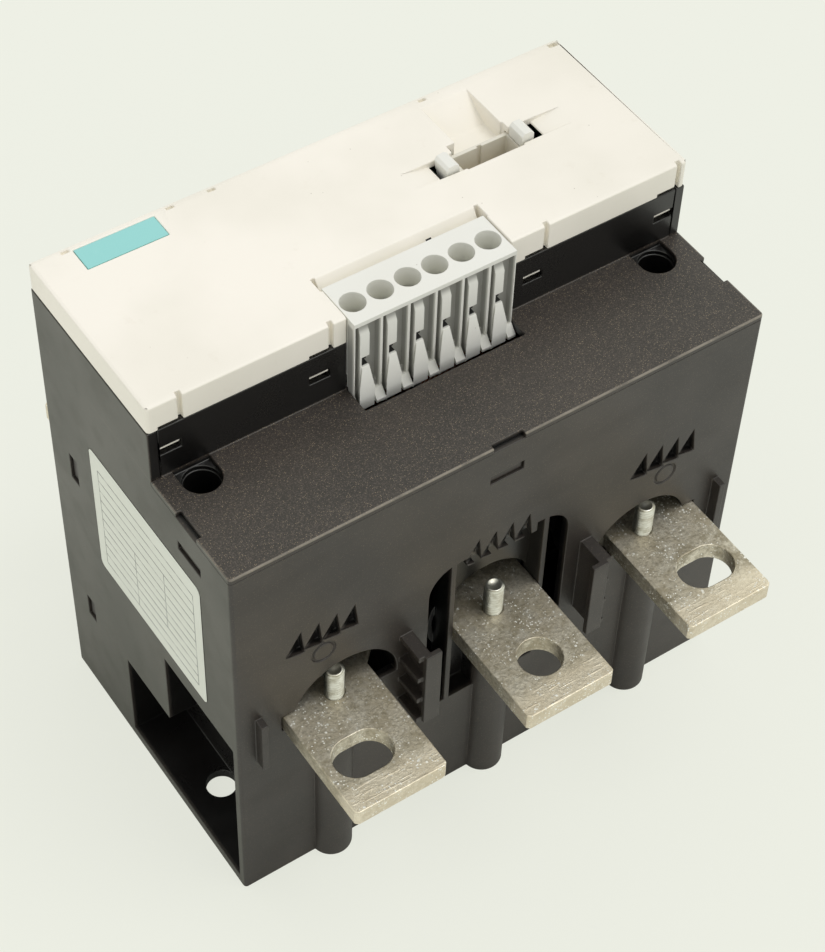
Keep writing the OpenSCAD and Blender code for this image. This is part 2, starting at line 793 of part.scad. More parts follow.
module tunnel_sleeve(pole) {
    length = body_d - 2 * sleeve_start;
    color([0.13, 0.13, 0.13]) difference() {
        rod_y(pole * inner_pitch, tunnel_z, near + sleeve_start, length, sleeve_out);
        rod_y(pole * inner_pitch, tunnel_z, near + sleeve_start - past, length + 2 * past, sleeve_in);
    }
}

// The core lies in its coil's trough and closes it flush at the far end.
module core_ring(pole) {
    difference() {
        rod_y(pole * inner_pitch, tunnel_z, near + coil_start + 1, coil_l - 1, core_out);
        rod_y(pole * inner_pitch, tunnel_z, near + coil_start, coil_l + past, core_in);
    }
}

module transformer_core(pole) {
    color([0.35, 0.36, 0.38]) core_ring(pole);
}

module transformer_coil(pole) {
    color([0.55, 0.30, 0.14]) difference() {
        rod_y(pole * inner_pitch, tunnel_z, near + coil_start, coil_l, coil_out);
        rod_y(pole * inner_pitch, tunnel_z, near + coil_start - past, coil_l + 2 * past, arch_r);
        core_ring(pole);
    }
}

// Two saddles on a base plate that carry the coils.
module transformer_cradle() {
    saddle_t = 3;
    low_x = chamber_x - shaft_t - 0.5;
    high_x = inner_pitch + coil_out + 1.5;
    saddle_top = tunnel_z - coil_out * 0.45;
    color([0.22, 0.22, 0.24]) {
        block([-low_x, near + coil_start + 2, floor_t], [low_x, near + coil_start + coil_l - 2, floor_t + saddle_t]);
        for (y = [coil_start + 3, coil_start + coil_l - 3 - saddle_t])
            upright(near + y, saddle_t) difference() {
                union() {
                    translate([-low_x, floor_t]) square([2 * low_x, saddle_top - floor_t]);
                    translate([-high_x, low_h + chamber_wall + 0.5])
                        square([2 * high_x, saddle_top - low_h - chamber_wall - 0.5]);
                }
                for (pole = [-1 : 1])
                    translate([pole * inner_pitch, tunnel_z]) circle(coil_out + fit, $fn = round_fn);
            }
    }
}

module transformer_leads() {
    spread = 5;
    foot = tunnel_z + sqrt(pow(coil_out, 2) - pow(spread - lead_d / 2, 2)) + 0.05;
    color(brass) for (pole = [-1 : 1], side = [-1, 1])
        translate([pole * inner_pitch + side * spread, near + coil_start + coil_l / 2, foot])
            cylinder(h = board_low - foot, d = lead_d, $fn = small_fn);
}

// ---- Electronics

module circuit_board() {
    board_x = inner_x - 0.5;
    color([0.10, 0.36, 0.22])
        block([-board_x, near + board_near, board_low], [board_x, near + board_far, board_top]);
}

module board_components() {
    chip = [12, 10, 2.4];
    row_x = socket_x - inner_x;
    mid_y = near + (plug_back + board_far) / 2;
    color([0.12, 0.12, 0.13]) for (i = [-1 : 1])
        translate([row_x + i * 1.8 * chip[0], mid_y - chip[1] / 2, board_top]) cube(chip);
    color([0.75, 0.70, 0.55]) for (i = [-2.5 : 2.5])
        translate([row_x + i * 9, near + board_far - 7, board_top]) cylinder(h = 5, r = 2.4, $fn = small_fn);
    color([0.55, 0.45, 0.30]) for (i = [-4.5 : 4.5])
        translate([row_x + i * 6.5, near + plug_back + 6, board_top]) cube([3.2, 1.6, 1]);
}

module plug_header() {
    half_w = 2.1;
    color(plug_plastic) difference() {
        block([-plug_w / 2 + 0.5, near + pin_y - half_w, board_top],
              [plug_w / 2 - 0.5, near + pin_y + half_w, board_top + header_h]);
        for (i = [0 : clamp_n - 1])
            translate([pole_x(i), near + pin_y, board_top - past])
                cylinder(h = header_h + 2 * past, d = pin_d, $fn = small_fn);
    }
}

module header_pins() {
    color(zinc) for (i = [0 : clamp_n - 1])
        translate([pole_x(i), near + pin_y, board_top])
            cylinder(h = contact_z - 0.5 - board_top, d = pin_d, $fn = small_fn);
}

module at_socket() {
    translate([socket_x, near + socket_y, 0]) children();
}

module ribbon_socket() {
    cavity = shroud_cavity;
    key_w = 1.2;
    color([0.80, 0.78, 0.72]) at_socket() difference() {
        union() {
            block([-shroud_l / 2, -shroud_w / 2, board_top], [shroud_l / 2, shroud_w / 2, shroud_top]);
            for (side = [0, 1], y = [-shroud_w / 2, shroud_w / 2 - ear_t])
                mirror([side, 0, 0])
                    block([shroud_l / 2 - 0.5, y, board_top], [shroud_l / 2 + ear_l, y + ear_t, board_top + ear_h]);
        }
        block([-cavity[0] / 2, -cavity[1] / 2, shroud_top - cavity[2]],
              [cavity[0] / 2, cavity[1] / 2, shroud_top + past]);
        block([-key_w / 2, 0, shroud_top - cavity[2]], [key_w / 2, cavity[1] / 2 + 0.6, shroud_top + past]);
        for (side = [-1, 1])
            rod_y(side * pivot_x, pivot_z, -shroud_w, 2 * shroud_w, pivot_r, small_fn);
        ribbon_pin_rows(past);
    }
}

// Two rows of five square pins.
module ribbon_pin_rows(below) {
    side = 0.64;
    for (i = [-2 : 2], j = [-0.5, 0.5])
        translate([i * pin_pitch - side / 2, j * pin_pitch - side / 2, board_top - below])
            cube([side, side, shroud_top - 5 - board_top + below]);
}

module ribbon_pins() {
    color([0.83, 0.68, 0.32]) at_socket() ribbon_pin_rows(0);
}

// An ejector latch in its upright place, on the +X side of the socket.
module latch() {
    hook_low = shroud_top + 0.4;
    difference() {
        union() {
            rod_y(pivot_x, pivot_z, -latch_w / 2, latch_w, latch_r, small_fn);
            block([pivot_x - latch_r, -latch_w / 2, pivot_z], [pivot_x + latch_r, latch_w / 2, latch_top - 1]);
            upright(-latch_w / 2 - 0.4, latch_w + 0.8)
                polygon([[pivot_x - hook_over, hook_low], [pivot_x + latch_r, hook_low],
                         [pivot_x + latch_r, latch_top - 0.8], [pivot_x + latch_r - 0.8, latch_top],
                         [pivot_x - hook_over + 0.8, latch_top], [pivot_x - hook_over, latch_top - 0.8]]);
        }
        rod_y(pivot_x, pivot_z, -latch_w, 2 * latch_w, pivot_r + run, small_fn);
    }
}

module left_ejector() {
    color(plug_plastic) at_socket() mirror([1, 0, 0])
        translate([pivot_x, 0, pivot_z]) rotate([0, left_latch_open, 0]) translate([-pivot_x, 0, -pivot_z])
            latch();
}

module right_ejector() {
    color(plug_plastic) at_socket() latch();
}

module ejector_pivots() {
    color(zinc) at_socket() for (side = [-1, 1])
        rod_y(side * pivot_x, pivot_z, -shroud_w / 2, shroud_w, pivot_r, small_fn);
}

// ---- Terminal plug

function pole_x(i) = (i - (clamp_n - 1) / 2) * pole_pitch;

// The plug's side view, from its top down to the terrace and the header.
module plug_outline() {
    polygon([
        [near + plug_front, plug_top], [near + plug_back, plug_top],
        [near + plug_back, board_top + header_h + 0.3], [near + plug_step, board_top + header_h + 0.3],
        [near + plug_step, board_top + 0.6], [near + terrace_d + 0.3, board_top + 0.6],
        [near + terrace_d + 0.3, plug_ledge], [near + terrace_d - 0.3, plug_ledge],
        [near + terrace_d - 0.3, plug_low], [near + plug_foot, plug_low],
        [near + plug_foot, plug_low + 0.8], [near + plug_front, plug_low + 3.2]
    ]);
}

// A pole's side outline from the distance y0 back to the channel's end, from the foot up to top.
module channel_side(y0, low, top, grow) {
    step_z = plug_ledge + 0.4;
    polygon([[near + y0, low], [near + foot_back + grow, low], [near + foot_back + grow, step_z],
             [near + plug_front + channel_depth + grow, step_z],
             [near + plug_front + channel_depth + grow, top], [near + y0, top]]);
}

// The upright channel in front of one pole, between two dividing ribs that end in a foot.
module plug_channel(x) {
    cut_w = pole_pitch - rib_w;
    lip = 1.3;
    foot_w = 1.9;
    across(x - cut_w / 2, cut_w) channel_side(plug_foot - past, plug_low + 3, plug_top - lip, 0);
    across(x - cut_w / 2, cut_w - foot_w)
        polygon([[near + plug_foot - past, plug_low - past], [near + foot_back, plug_low - past],
                 [near + foot_back, plug_low + 4], [near + plug_foot - past, plug_low + 4]]);
}

// The tongue and the wire guide that stand in a pole's channel.
module plug_tongue(x) {
    tongue_w = 2.5;
    guide_w = 4.2;
    left_x = x - pole_pitch / 2 + 1.6;
    front = near + plug_front;
    guide_high = cage_low + cage_bar;
    difference() {
        across(left_x, tongue_w) channel_side(plug_front, plug_low, plug_top - 1, 0.1);
        across(left_x - past, tongue_w + 2 * past)
            polygon([[front - past, plug_top], [front - past, plug_top - 5.2], [front, plug_top - 4.6],
                     [front + 0.9, plug_top - 2.7], [front + 0.9, plug_top]]);
    }
    intersection() {
        across(left_x - 1.4, guide_w) difference() {
            channel_side(plug_foot, plug_low, guide_high, 0.1);
            polygon([[front, guide_high], [near + plug_foot, plug_low + 6.4],
                     [near + plug_foot - past, plug_low + 6.4], [near + plug_foot - past, guide_high + past],
                     [front, guide_high + past]]);
        }
        linear_extrude(plug_top)
            polygon([[left_x + 0.6, near + terrace_d], [left_x + tongue_w, near + terrace_d],
                     [left_x + tongue_w, front], [left_x + guide_w - 1.4, near + plug_foot],
                     [left_x - 1.3, near + plug_foot], [left_x + 0.6, front]]);
    }
}

module plug_pole_cuts(x) {
    left_x = x - pole_pitch / 2 + 1.6;
    translate([x, near + screw_line, well_floor])
        cylinder(h = well_depth + past, d = well_d, $fn = round_fn);
    translate([x, near + screw_line, well_floor - partition_t - past])
        cylinder(h = partition_t + 2 * past, r = clamp_d / 2 + run, $fn = small_fn);
    block([x - cage_w / 2 - cage_room, near + cage_y - cage_room, board_top],
          [x + cage_w / 2 + cage_room, near + cage_y + cage_l + cage_room, well_floor - partition_t]);
    block([left_x + 0.5, near + plug_front - past, cage_low + cage_bar],
          [left_x + 2.5 + past, near + plug_front + channel_depth, contact_z]);
    block([left_x + 0.5, near + plug_front, cage_low + cage_bar],
          [left_x + 2.9, near + cage_y + past, contact_z]);
    block([x - 1.2, near + cage_y + cage_l, board_top],
          [x + 1.2, near + pin_y + 1.2, contact_z + 3]);
}

module terminal_plug() {
    color(plug_plastic) difference() {
        union() {
            difference() {
                across(-plug_w / 2, plug_w) plug_outline();
                for (i = [0 : clamp_n - 1])
                    plug_channel(pole_x(i));
            }
            for (i = [0 : clamp_n - 1])
                plug_tongue(pole_x(i));
        }
        for (i = [0 : clamp_n - 1])
            plug_pole_cuts(pole_x(i));
    }
}

// A contact grips the header pin and lies in the cage as the plate under the wire.
module plug_contacts() {
    half = 1.1;
    color(brass) for (i = [0 : clamp_n - 1]) translate([pole_x(i), near, 0]) difference() {
        union() {
            block([-half, pin_y - half, board_top + header_h + 0.5], [half, pin_y + half, contact_z + contact_t]);
            block([-half, cage_y + 0.4, contact_z], [half, pin_y, contact_z + contact_t]);
        }
        translate([0, pin_y, board_top]) cylinder(h = contact_z - board_top - 0.3, r = pin_d / 2 + run, $fn = small_fn);
    }
}

module clamp_screw(i) {
    head_h = 1.4;
    head_r = 2.3;
    shank_low = contact_z + contact_t + 0.1;
    color(zinc) translate([pole_x(i), near + screw_line, 0]) difference() {
        union() {
            translate([0, 0, well_floor + 0.05]) cylinder(h = head_h, r = head_r, $fn = small_fn);
            translate([0, 0, shank_low]) cylinder(h = well_floor - shank_low + 0.5, d = clamp_d, $fn = small_fn);
        }
        translate([-head_r - past, -0.35, well_floor + head_h - 0.75]) cube([2 * head_r + 2 * past, 0.7, 2]);
    }
}

module clamp_cage(i) {
    side_t = 0.9;
    color(brass) translate([pole_x(i), near + screw_line, 0]) difference() {
        block([-cage_w / 2, -cage_l / 2, cage_low], [cage_w / 2, cage_l / 2, cage_top]);
        block([-cage_w / 2 + side_t, -cage_l, cage_low + cage_bar], [cage_w / 2 - side_t, cage_l, cage_top - cage_bar]);
        translate([0, 0, cage_low]) translate([0, 0, cage_bar])
            cylinder(h = cage_h, r = clamp_d / 2 + run, $fn = small_fn);
    }
}

base_housing();
end_panel();
terrace_cover();
front_cover();
colour_plate();
side_label();
busbar(-1);  // left_busbar
busbar(0);  // middle_busbar
busbar(1);  // right_busbar
busbar_studs();
tunnel_sleeve(-1);  // left_tunnel_sleeve
tunnel_sleeve(0);  // middle_tunnel_sleeve
tunnel_sleeve(1);  // right_tunnel_sleeve
transformer_core(-1);  // left_transformer_core
transformer_core(0);  // middle_transformer_core
transformer_core(1);  // right_transformer_core
transformer_coil(-1);  // left_transformer_coil
transformer_coil(0);  // middle_transformer_coil
transformer_coil(1);  // right_transformer_coil
transformer_cradle();
transformer_leads();
circuit_board();
board_components();
ribbon_socket();
ribbon_pins();
left_ejector();
right_ejector();
ejector_pivots();
plug_header();
header_pins();
terminal_plug();
plug_contacts();
clamp_screw(0);  // clamp_screw_1
clamp_screw(1);  // clamp_screw_2
clamp_screw(2);  // clamp_screw_3
clamp_screw(3);  // clamp_screw_4
clamp_screw(4);  // clamp_screw_5
clamp_screw(5);  // clamp_screw_6
clamp_cage(0);  // clamp_cage_1
clamp_cage(1);  // clamp_cage_2
clamp_cage(2);  // clamp_cage_3
clamp_cage(3);  // clamp_cage_4
clamp_cage(4);  // clamp_cage_5
clamp_cage(5);  // clamp_cage_6
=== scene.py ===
# %% [markdown]
# # A three-pole power module in a moulded case
# The object is a black moulded housing with an off-white front cover. Three tinned copper bars run
# through it, a pale six-pole screw terminal plugs into its front, and a small ribbon socket sits in
# the cover. The CAD model is exact but bare, so this lesson adds what a camera sees: soft edges,
# threads, worn metal and moulded plastic.
#
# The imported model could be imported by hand.

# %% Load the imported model
import json
import math

import bmesh
import bpy
import numpy as np
from mathutils import Matrix, Vector
from mathutils.bvhtree import BVHTree


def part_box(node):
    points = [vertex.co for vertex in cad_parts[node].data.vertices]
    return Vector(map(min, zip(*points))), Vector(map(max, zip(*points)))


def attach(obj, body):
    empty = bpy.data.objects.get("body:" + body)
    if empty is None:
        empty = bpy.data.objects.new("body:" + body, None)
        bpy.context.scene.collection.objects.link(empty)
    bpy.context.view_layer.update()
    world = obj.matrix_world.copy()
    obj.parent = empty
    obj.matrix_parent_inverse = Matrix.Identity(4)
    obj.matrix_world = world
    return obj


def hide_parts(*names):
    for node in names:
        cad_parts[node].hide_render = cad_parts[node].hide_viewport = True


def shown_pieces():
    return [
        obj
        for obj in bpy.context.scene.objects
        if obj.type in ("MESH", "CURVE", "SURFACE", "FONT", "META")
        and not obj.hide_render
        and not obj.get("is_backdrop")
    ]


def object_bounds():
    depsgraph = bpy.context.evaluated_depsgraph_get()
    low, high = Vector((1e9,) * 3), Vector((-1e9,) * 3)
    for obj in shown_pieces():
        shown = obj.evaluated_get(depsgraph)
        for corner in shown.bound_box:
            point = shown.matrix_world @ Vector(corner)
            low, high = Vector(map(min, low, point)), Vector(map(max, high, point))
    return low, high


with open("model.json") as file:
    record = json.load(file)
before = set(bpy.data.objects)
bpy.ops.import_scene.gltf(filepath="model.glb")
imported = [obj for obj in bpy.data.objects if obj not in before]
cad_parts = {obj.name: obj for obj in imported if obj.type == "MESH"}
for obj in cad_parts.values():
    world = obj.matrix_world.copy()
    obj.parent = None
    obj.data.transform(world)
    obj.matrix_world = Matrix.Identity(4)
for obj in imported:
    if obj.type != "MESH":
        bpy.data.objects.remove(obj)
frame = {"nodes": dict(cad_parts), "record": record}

cad_low, cad_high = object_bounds()
MM = 0.001
print("CAD box in mm:", [round(side / MM, 1) for side in cad_high - cad_low],
      "nodes:", len(frame["nodes"]))

# %% [markdown]
# The photograph gives the only measurements that don't come from the CAD: where things show in its
# frame, in pixels from the top left corner. They could be scattered through the script, but kept in
# one table they can be checked together after each render.

# %% Points in the photograph
WIDE, HIGH = 825, 952
POINTS = {
    "object_left": (27.5, None), "object_right": (773.5, None),
    "object_top": (None, 38.5), "object_bottom": (None, 887.0),
    "cover_far_right": (556.0, 38.5), "cover_near_left": (145.0, 411.5), "cover_near_right": (688.0, 161.5),
    "terrace_near_left": (228.5, 583.0), "terrace_near_right": (765.0, 314.0),
    "base_near_left": (246.0, 887.0), "base_far_left": (80.3, 657.6),
    "left_bar_tip": (357.5, 813.5), "middle_bar_tip": (614.8, 673.7), "right_bar_tip": (773.5, 584.0),
    "plug_left": (353.9, 330.9), "plug_right": (518.0, 253.0),
    "plate_corner": (154.0, 216.4),
    "recess_slot_wide": (430.0, 244.5), "recess_slot_middle": (407.5, 257.0), "recess_slot_left": (380.0, 269.5),
}
print(len(POINTS), "image points")

# %% [markdown]
# The camera stands where the photographer's did. Its place came from matching corners of the case,
# so it is written as a place, an aim (two angles) and a roll. No shift is needed, because the aim
# alone brings the points into line.

# %% Camera
CAMERA_PLACE = Vector((-0.218160, -0.309189, 0.518514))
CAMERA_HEADING, CAMERA_DOWN, CAMERA_ROLL = math.radians(35.736), math.radians(49.785), math.radians(2.335)

camera = bpy.data.objects.new("camera", bpy.data.cameras.new("camera"))
bpy.context.scene.collection.objects.link(camera)
bpy.context.scene.camera = camera
camera.data.sensor_fit = "AUTO"
camera.data.sensor_width = 36.0
camera.data.lens = 89.4516
camera.data.clip_start, camera.data.clip_end = 0.05, 20.0

ahead = Vector((math.sin(CAMERA_HEADING) * math.cos(CAMERA_DOWN),
                math.cos(CAMERA_HEADING) * math.cos(CAMERA_DOWN), -math.sin(CAMERA_DOWN)))
level = ahead.cross(Vector((0, 0, 1))).normalized()
right = level * math.cos(CAMERA_ROLL) + level.cross(ahead) * math.sin(CAMERA_ROLL)
turn = Matrix((right, right.cross(ahead), -ahead)).transposed().to_4x4()
camera.matrix_world = Matrix.Translation(CAMERA_PLACE) @ turn
bpy.context.view_layer.update()
print("camera right:", [round(v, 4) for v in right])

# %% [markdown]
# Two small functions tie the picture to the model. One turns a place into the pixel where it shows.
# The other shoots a ray through a pixel and finds where it meets a finished surface. A ray in plain
# numbers is short, says what it does, and stays right when the lens or the frame changes.

# %% From the picture to the model and back
LONG = max(WIDE, HIGH)
REACH = LONG * camera.data.lens / camera.data.sensor_width
OBJECT_MIDDLE = Vector((0, 0, 0.1))


def pixel(place):
    """Where a place shows: its offset in the camera's axes, divided by its distance ahead."""
    seen = camera.matrix_world.inverted() @ Vector(place)
    x = WIDE / 2 - camera.data.shift_x * LONG + seen.x / -seen.z * REACH
    y = HIGH / 2 + camera.data.shift_y * LONG - seen.y / -seen.z * REACH
    return x, y


def finished_mesh(thing):
    """The object's mesh with its modifiers applied."""
    return thing.evaluated_get(bpy.context.evaluated_depsgraph_get()).to_mesh()


def tree_of(things):
    """A search tree over the finished triangles of several objects."""
    spots, faces = [], []
    for thing in things:
        mesh = finished_mesh(thing)
        base = len(spots)
        spots.extend(vertex.co.copy() for vertex in mesh.vertices)
        faces.extend([base + number for number in face.vertices] for face in mesh.polygons)
    return BVHTree.FromPolygons(spots, faces)


def meet(tree, x, y):
    """Place and normal where the ray through pixel (x, y) meets the tree. A ray that misses takes the
    place of the tree nearest to it, at about the object's distance."""
    start = camera.matrix_world.translation
    offset = Vector((x - WIDE / 2 + camera.data.shift_x * LONG,
                     HIGH / 2 - y + camera.data.shift_y * LONG, -REACH))
    ray = (camera.matrix_world.to_3x3() @ offset).normalized()
    place, normal, _, _ = tree.ray_cast(start, ray)
    if place is None:
        beside = start + ray * (OBJECT_MIDDLE - start).length
        place, normal, _, _ = tree.find_nearest(beside)
    return place, normal


print("middle of the picture is", round(REACH), "pixels ahead")

# %% [markdown]
# The stage is a plain pale floor. A curved backdrop would also work, but this camera looks down so
# steeply that it sees nothing else. Most of what the camera sees of the floor is the plain background,
# and only the rest is lit, so the object's shadow stays as faint as in the photograph.

# %% Floor
BACKGROUND = (0.855, 0.871, 0.785, 1.0)
PLAIN_SHARE = 0.8   # how much of what the camera sees of the floor is plain background
FLOOR_HALF = 4.0    # metres from the floor's middle to its edge


def add_node(tree, kind, settings=None, inputs=None):
    """Adds a node: its settings first, then for each input a value or the socket that feeds it."""
    made = tree.nodes.new("ShaderNode" + kind)
    for name, value in (settings or {}).items():
        setattr(made, name, value)
    for key, value in (inputs or {}).items():
        if isinstance(value, bpy.types.NodeSocket):
            tree.links.new(value, made.inputs[key])
        else:
            made.inputs[key].default_value = value
    return made


def make_floor(half, low):
    """A flat square of side 2 * half at height low."""
    mesh = bpy.data.meshes.new("floor")
    corners = [(-half, -half, low), (half, -half, low), (half, half, low), (-half, half, low)]
    mesh.from_pydata(corners, [], [(0, 1, 2, 3)])
    floor = bpy.data.objects.new("floor", mesh)
    bpy.context.scene.collection.objects.link(floor)
    floor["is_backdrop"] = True
    return floor


def floor_look():
    """A dull pale surface, mixed for the camera alone with a plain glow of the background's colour."""
    look = bpy.data.materials.new("pale_floor")
    look.use_nodes = True
    tree = look.node_tree
    tree.nodes.clear()
    lit = add_node(tree, "BsdfPrincipled", {}, {"Base Color": BACKGROUND, "Roughness": 0.9,
                                                "Specular IOR Level": 0.0})
    seen = add_node(tree, "LightPath").outputs["Is Camera Ray"]
    share = add_node(tree, "Math", {"operation": "MULTIPLY"}, {0: seen, 1: PLAIN_SHARE})
    plain = add_node(tree, "Emission", {}, {"Color": BACKGROUND})
    both = add_node(tree, "MixShader", {}, {0: share.outputs[0], 1: lit.outputs[0], 2: plain.outputs[0]})
    add_node(tree, "OutputMaterial", {}, {0: both.outputs[0]})
    return look


floor = make_floor(FLOOR_HALF, cad_low.z)
floor.data.materials.append(floor_look())
print("the floor lies at", round(floor.data.vertices[0].co.z / MM, 1), "mm")

# %% [markdown]
# The world gives most of the light, as a studio tent does. Camera and glossy rays see the background's
# colour in it, while diffuse rays see an even white, so that colours render as they are written. One
# wide lamp, high up and a little to the right, adds the soft direction that the photograph shows. An
# area lamp would do too, but a sun is as strong at the far side of the object as at the near one.

# %% Light
EVEN_WHITE = (0.76, 0.76, 0.76, 1)
KEY_TOWARDS, KEY_STRENGTH, KEY_WIDTH = (0.28, -0.22, 0.93), 0.85, 30
bpy.context.scene.view_settings.view_transform = "Standard"


def studio_world():
    """A sky of one colour for camera and glossy rays and an even white for the rays that light things."""
    world = bpy.data.worlds.new("studio")
    world.use_nodes = True
    tree = world.node_tree
    tree.nodes.clear()
    rays = add_node(tree, "LightPath").outputs
    either = add_node(tree, "Math", {"operation": "MAXIMUM"},
                      {0: rays["Is Camera Ray"], 1: rays["Is Glossy Ray"]})
    chosen = add_node(tree, "Mix", {"data_type": "RGBA"},
                      {0: either.outputs[0], 6: EVEN_WHITE, 7: BACKGROUND})
    sky = add_node(tree, "Background", {}, {"Color": chosen.outputs[2]})
    add_node(tree, "OutputWorld", {}, {0: sky.outputs[0]})
    return world


def make_sun(name, towards, strength, spread):
    """A sun that stands in the direction towards, as seen from the object, spread degrees wide."""
    lamp = bpy.data.lights.new(name, "SUN")
    lamp.energy, lamp.angle = strength, math.radians(spread)
    sun = bpy.data.objects.new(name, lamp)
    sun.rotation_mode = "QUATERNION"
    sun.rotation_quaternion = Vector(towards).to_track_quat("Z", "Y")
    bpy.context.scene.collection.objects.link(sun)


bpy.context.scene.world = studio_world()
make_sun("key", KEY_TOWARDS, KEY_STRENGTH, KEY_WIDTH)
print("one lamp of strength", KEY_STRENGTH, "and a world of", EVEN_WHITE[0], "light the object")

# %% [markdown]
# A finish is a small program of nodes. Wiring each one by hand hides the idea behind a hundred lines,
# so a wire is wrapped in a class that knows arithmetic: `1 - mask * 0.4` adds the two Math nodes by
# itself.

# %% Wires that can be used in formulas
class Wire:
    """One output of a node. Arithmetic on it adds Math nodes."""

    def __init__(self, finish, socket):
        self.finish, self.socket = finish, socket

    def maths(self, operation, *terms):
        """One Math node on wires and numbers."""
        return self.finish.node("Math", {"operation": operation}, dict(enumerate(terms)))

    def __add__(self, other):
        return self.maths("ADD", self, other)

    def __sub__(self, other):
        return self.maths("SUBTRACT", self, other)

    def __rsub__(self, other):
        return self.maths("SUBTRACT", other, self)

    def __mul__(self, other):
        return self.maths("MULTIPLY", self, other)

    def __abs__(self):
        return self.maths("ABSOLUTE", self)

    def __lt__(self, other):
        return self.maths("LESS_THAN", self, other)

    def __gt__(self, other):
        return self.maths("GREATER_THAN", self, other)

    __radd__, __rmul__ = __add__, __mul__

    def ramp(self, low, high, start=0.0, end=1.0):
        """Smoothly from start to end as the wire goes from low to high."""
        return self.finish.node("MapRange", {"interpolation_type": "SMOOTHSTEP"},
                                {0: self, 1: low, 2: high, 3: start, 4: end})


print("a wire can be added, subtracted, multiplied, compared and ramped")

# %% [markdown]
# The finish itself holds the shader and offers the patterns that every material here is made of: noise,
# specks, blends and relief. Each could be a node group, but a method reads like the words for it. Every
# node apart from the sums comes from one method that takes its type, its settings and its inputs.
# Colours are written as a picture gives them, and a formula turns them into light.

# %% A finish and its patterns
class Finish:
    """A material being written: a Principled shader and a pattern space in metres."""

    def __init__(self, name, **constants):
        self.material = bpy.data.materials.new(name)
        self.material.use_nodes = True
        self.tree = self.material.node_tree
        self.tree.nodes.clear()
        self.shader = add_node(self.tree, "BsdfPrincipled")
        add_node(self.tree, "OutputMaterial", {}, {0: self.shader.outputs[0]})
        self.place = self.node("TexCoord", output="Object")
        self.set(**constants)

    def node(self, kind, settings=None, inputs=None, output=0):
        """Adds a node whose inputs are values or wires, and gives the wire that leaves it."""
        sockets = {key: value.socket if isinstance(value, Wire) else value
                   for key, value in (inputs or {}).items()}
        return Wire(self, add_node(self.tree, kind, settings, sockets).outputs[output])

    def set(self, **sockets):
        """Gives the shader's sockets values or wires; underscores stand for the spaces in their names."""
        for name, value in sockets.items():
            socket = self.shader.inputs[name.replace("_", " ")]
            if isinstance(value, Wire):
                self.tree.links.new(value.socket, socket)
            else:
                socket.default_value = value
        return self

    def axis(self, name):
        """One coordinate of the pattern space, in millimetres."""
        return self.node("SeparateXYZ", inputs={0: self.place}, output="XYZ".index(name)) * 1000

    def stretched(self, x, y, z):
        """The pattern space with each axis scaled: a small number draws a pattern out along it."""
        return self.node("Mapping", {"vector_type": "POINT"}, {"Vector": self.place, "Scale": (x, y, z)})

    def noise(self, size, detail=2.0, rough=0.5, space=None):
        """Cloudy noise from 0 to 1, whose patches are about size millimetres wide."""
        return self.node("TexNoise", inputs={"Vector": space or self.place, "Scale": 1000 / size,
                                             "Detail": detail, "Roughness": rough})

    def specks(self, size, radius, share):
        """1 on small dots, one in each cell of the given size, but only in that share of the cells."""
        cell = {"Vector": self.place, "Scale": 1000 / size}
        near = self.node("TexVoronoi", inputs=cell, output="Distance") < radius
        lot = self.node("SeparateXYZ", inputs={0: self.node("TexVoronoi", inputs=cell, output="Color")})
        return near * (lot < share)

    def blend(self, mask, first, second):
        """first where mask is 0, second where it is 1."""
        return self.node("Mix", {"data_type": "RGBA"}, {0: mask, 6: first, 7: second}, output=2)

    def relief(self, height, distance, strength=1.0):
        """Tilts the surface as if it rose by height times distance millimetres."""
        bump = self.node("Bump", inputs={"Height": height, "Distance": distance * MM,
                                         "Strength": strength})
        return self.set(Normal=bump)


def paint(red, green, blue):
    """A colour as a picture gives it, from 0 to 255, turned into amounts of light (the sRGB formula)."""
    return tuple(((c / 255 + 0.055) / 1.055) ** 2.4 for c in (red, green, blue)) + (1.0,)


FINISHES = {}
print("paint(243, 239, 228) =", [round(v, 3) for v in paint(243, 239, 228)])

# %% [markdown]
# Where a surface lies on the case decides its colour: the terraces carry the densest sparkle, a pale
# highlight is painted along their edges, the sides get a paler painted sheen, and everything within the
# case is darkened to near black as painted shade; the riser is painted near black too. Masks could be
# painted by hand, but Object coordinates tell the place, and the CAD's own faces tell where the case begins and
# ends.

# %% Masks by place on the case
def widest_level(node, axis, sign):
    """How far out, in millimetres, a node has most of the area that faces one way along an axis."""
    levels = {}
    for face in frame["nodes"][node].data.polygons:
        if face.normal[axis] * sign > 0.99:
            level = round(abs(face.center[axis]) / MM, 1)
            levels[level] = levels.get(level, 0) + face.area
    return max(levels, key=levels.get)


CASE_X = widest_level("base_housing", 0, 1)
CASE_Y = widest_level("base_housing", 1, -1)
TERRACE_Z = widest_level("terrace_cover", 2, 1)
TOP_BAND = 0.3      # how far from the terrace's height a place still counts as its top
EDGE_HIGHLIGHT_DEPTH = 32   # how far back from the near face the painted edge highlight runs
RISER_DEPTH = 20    # how far in from the near and far faces the riser's near black begins
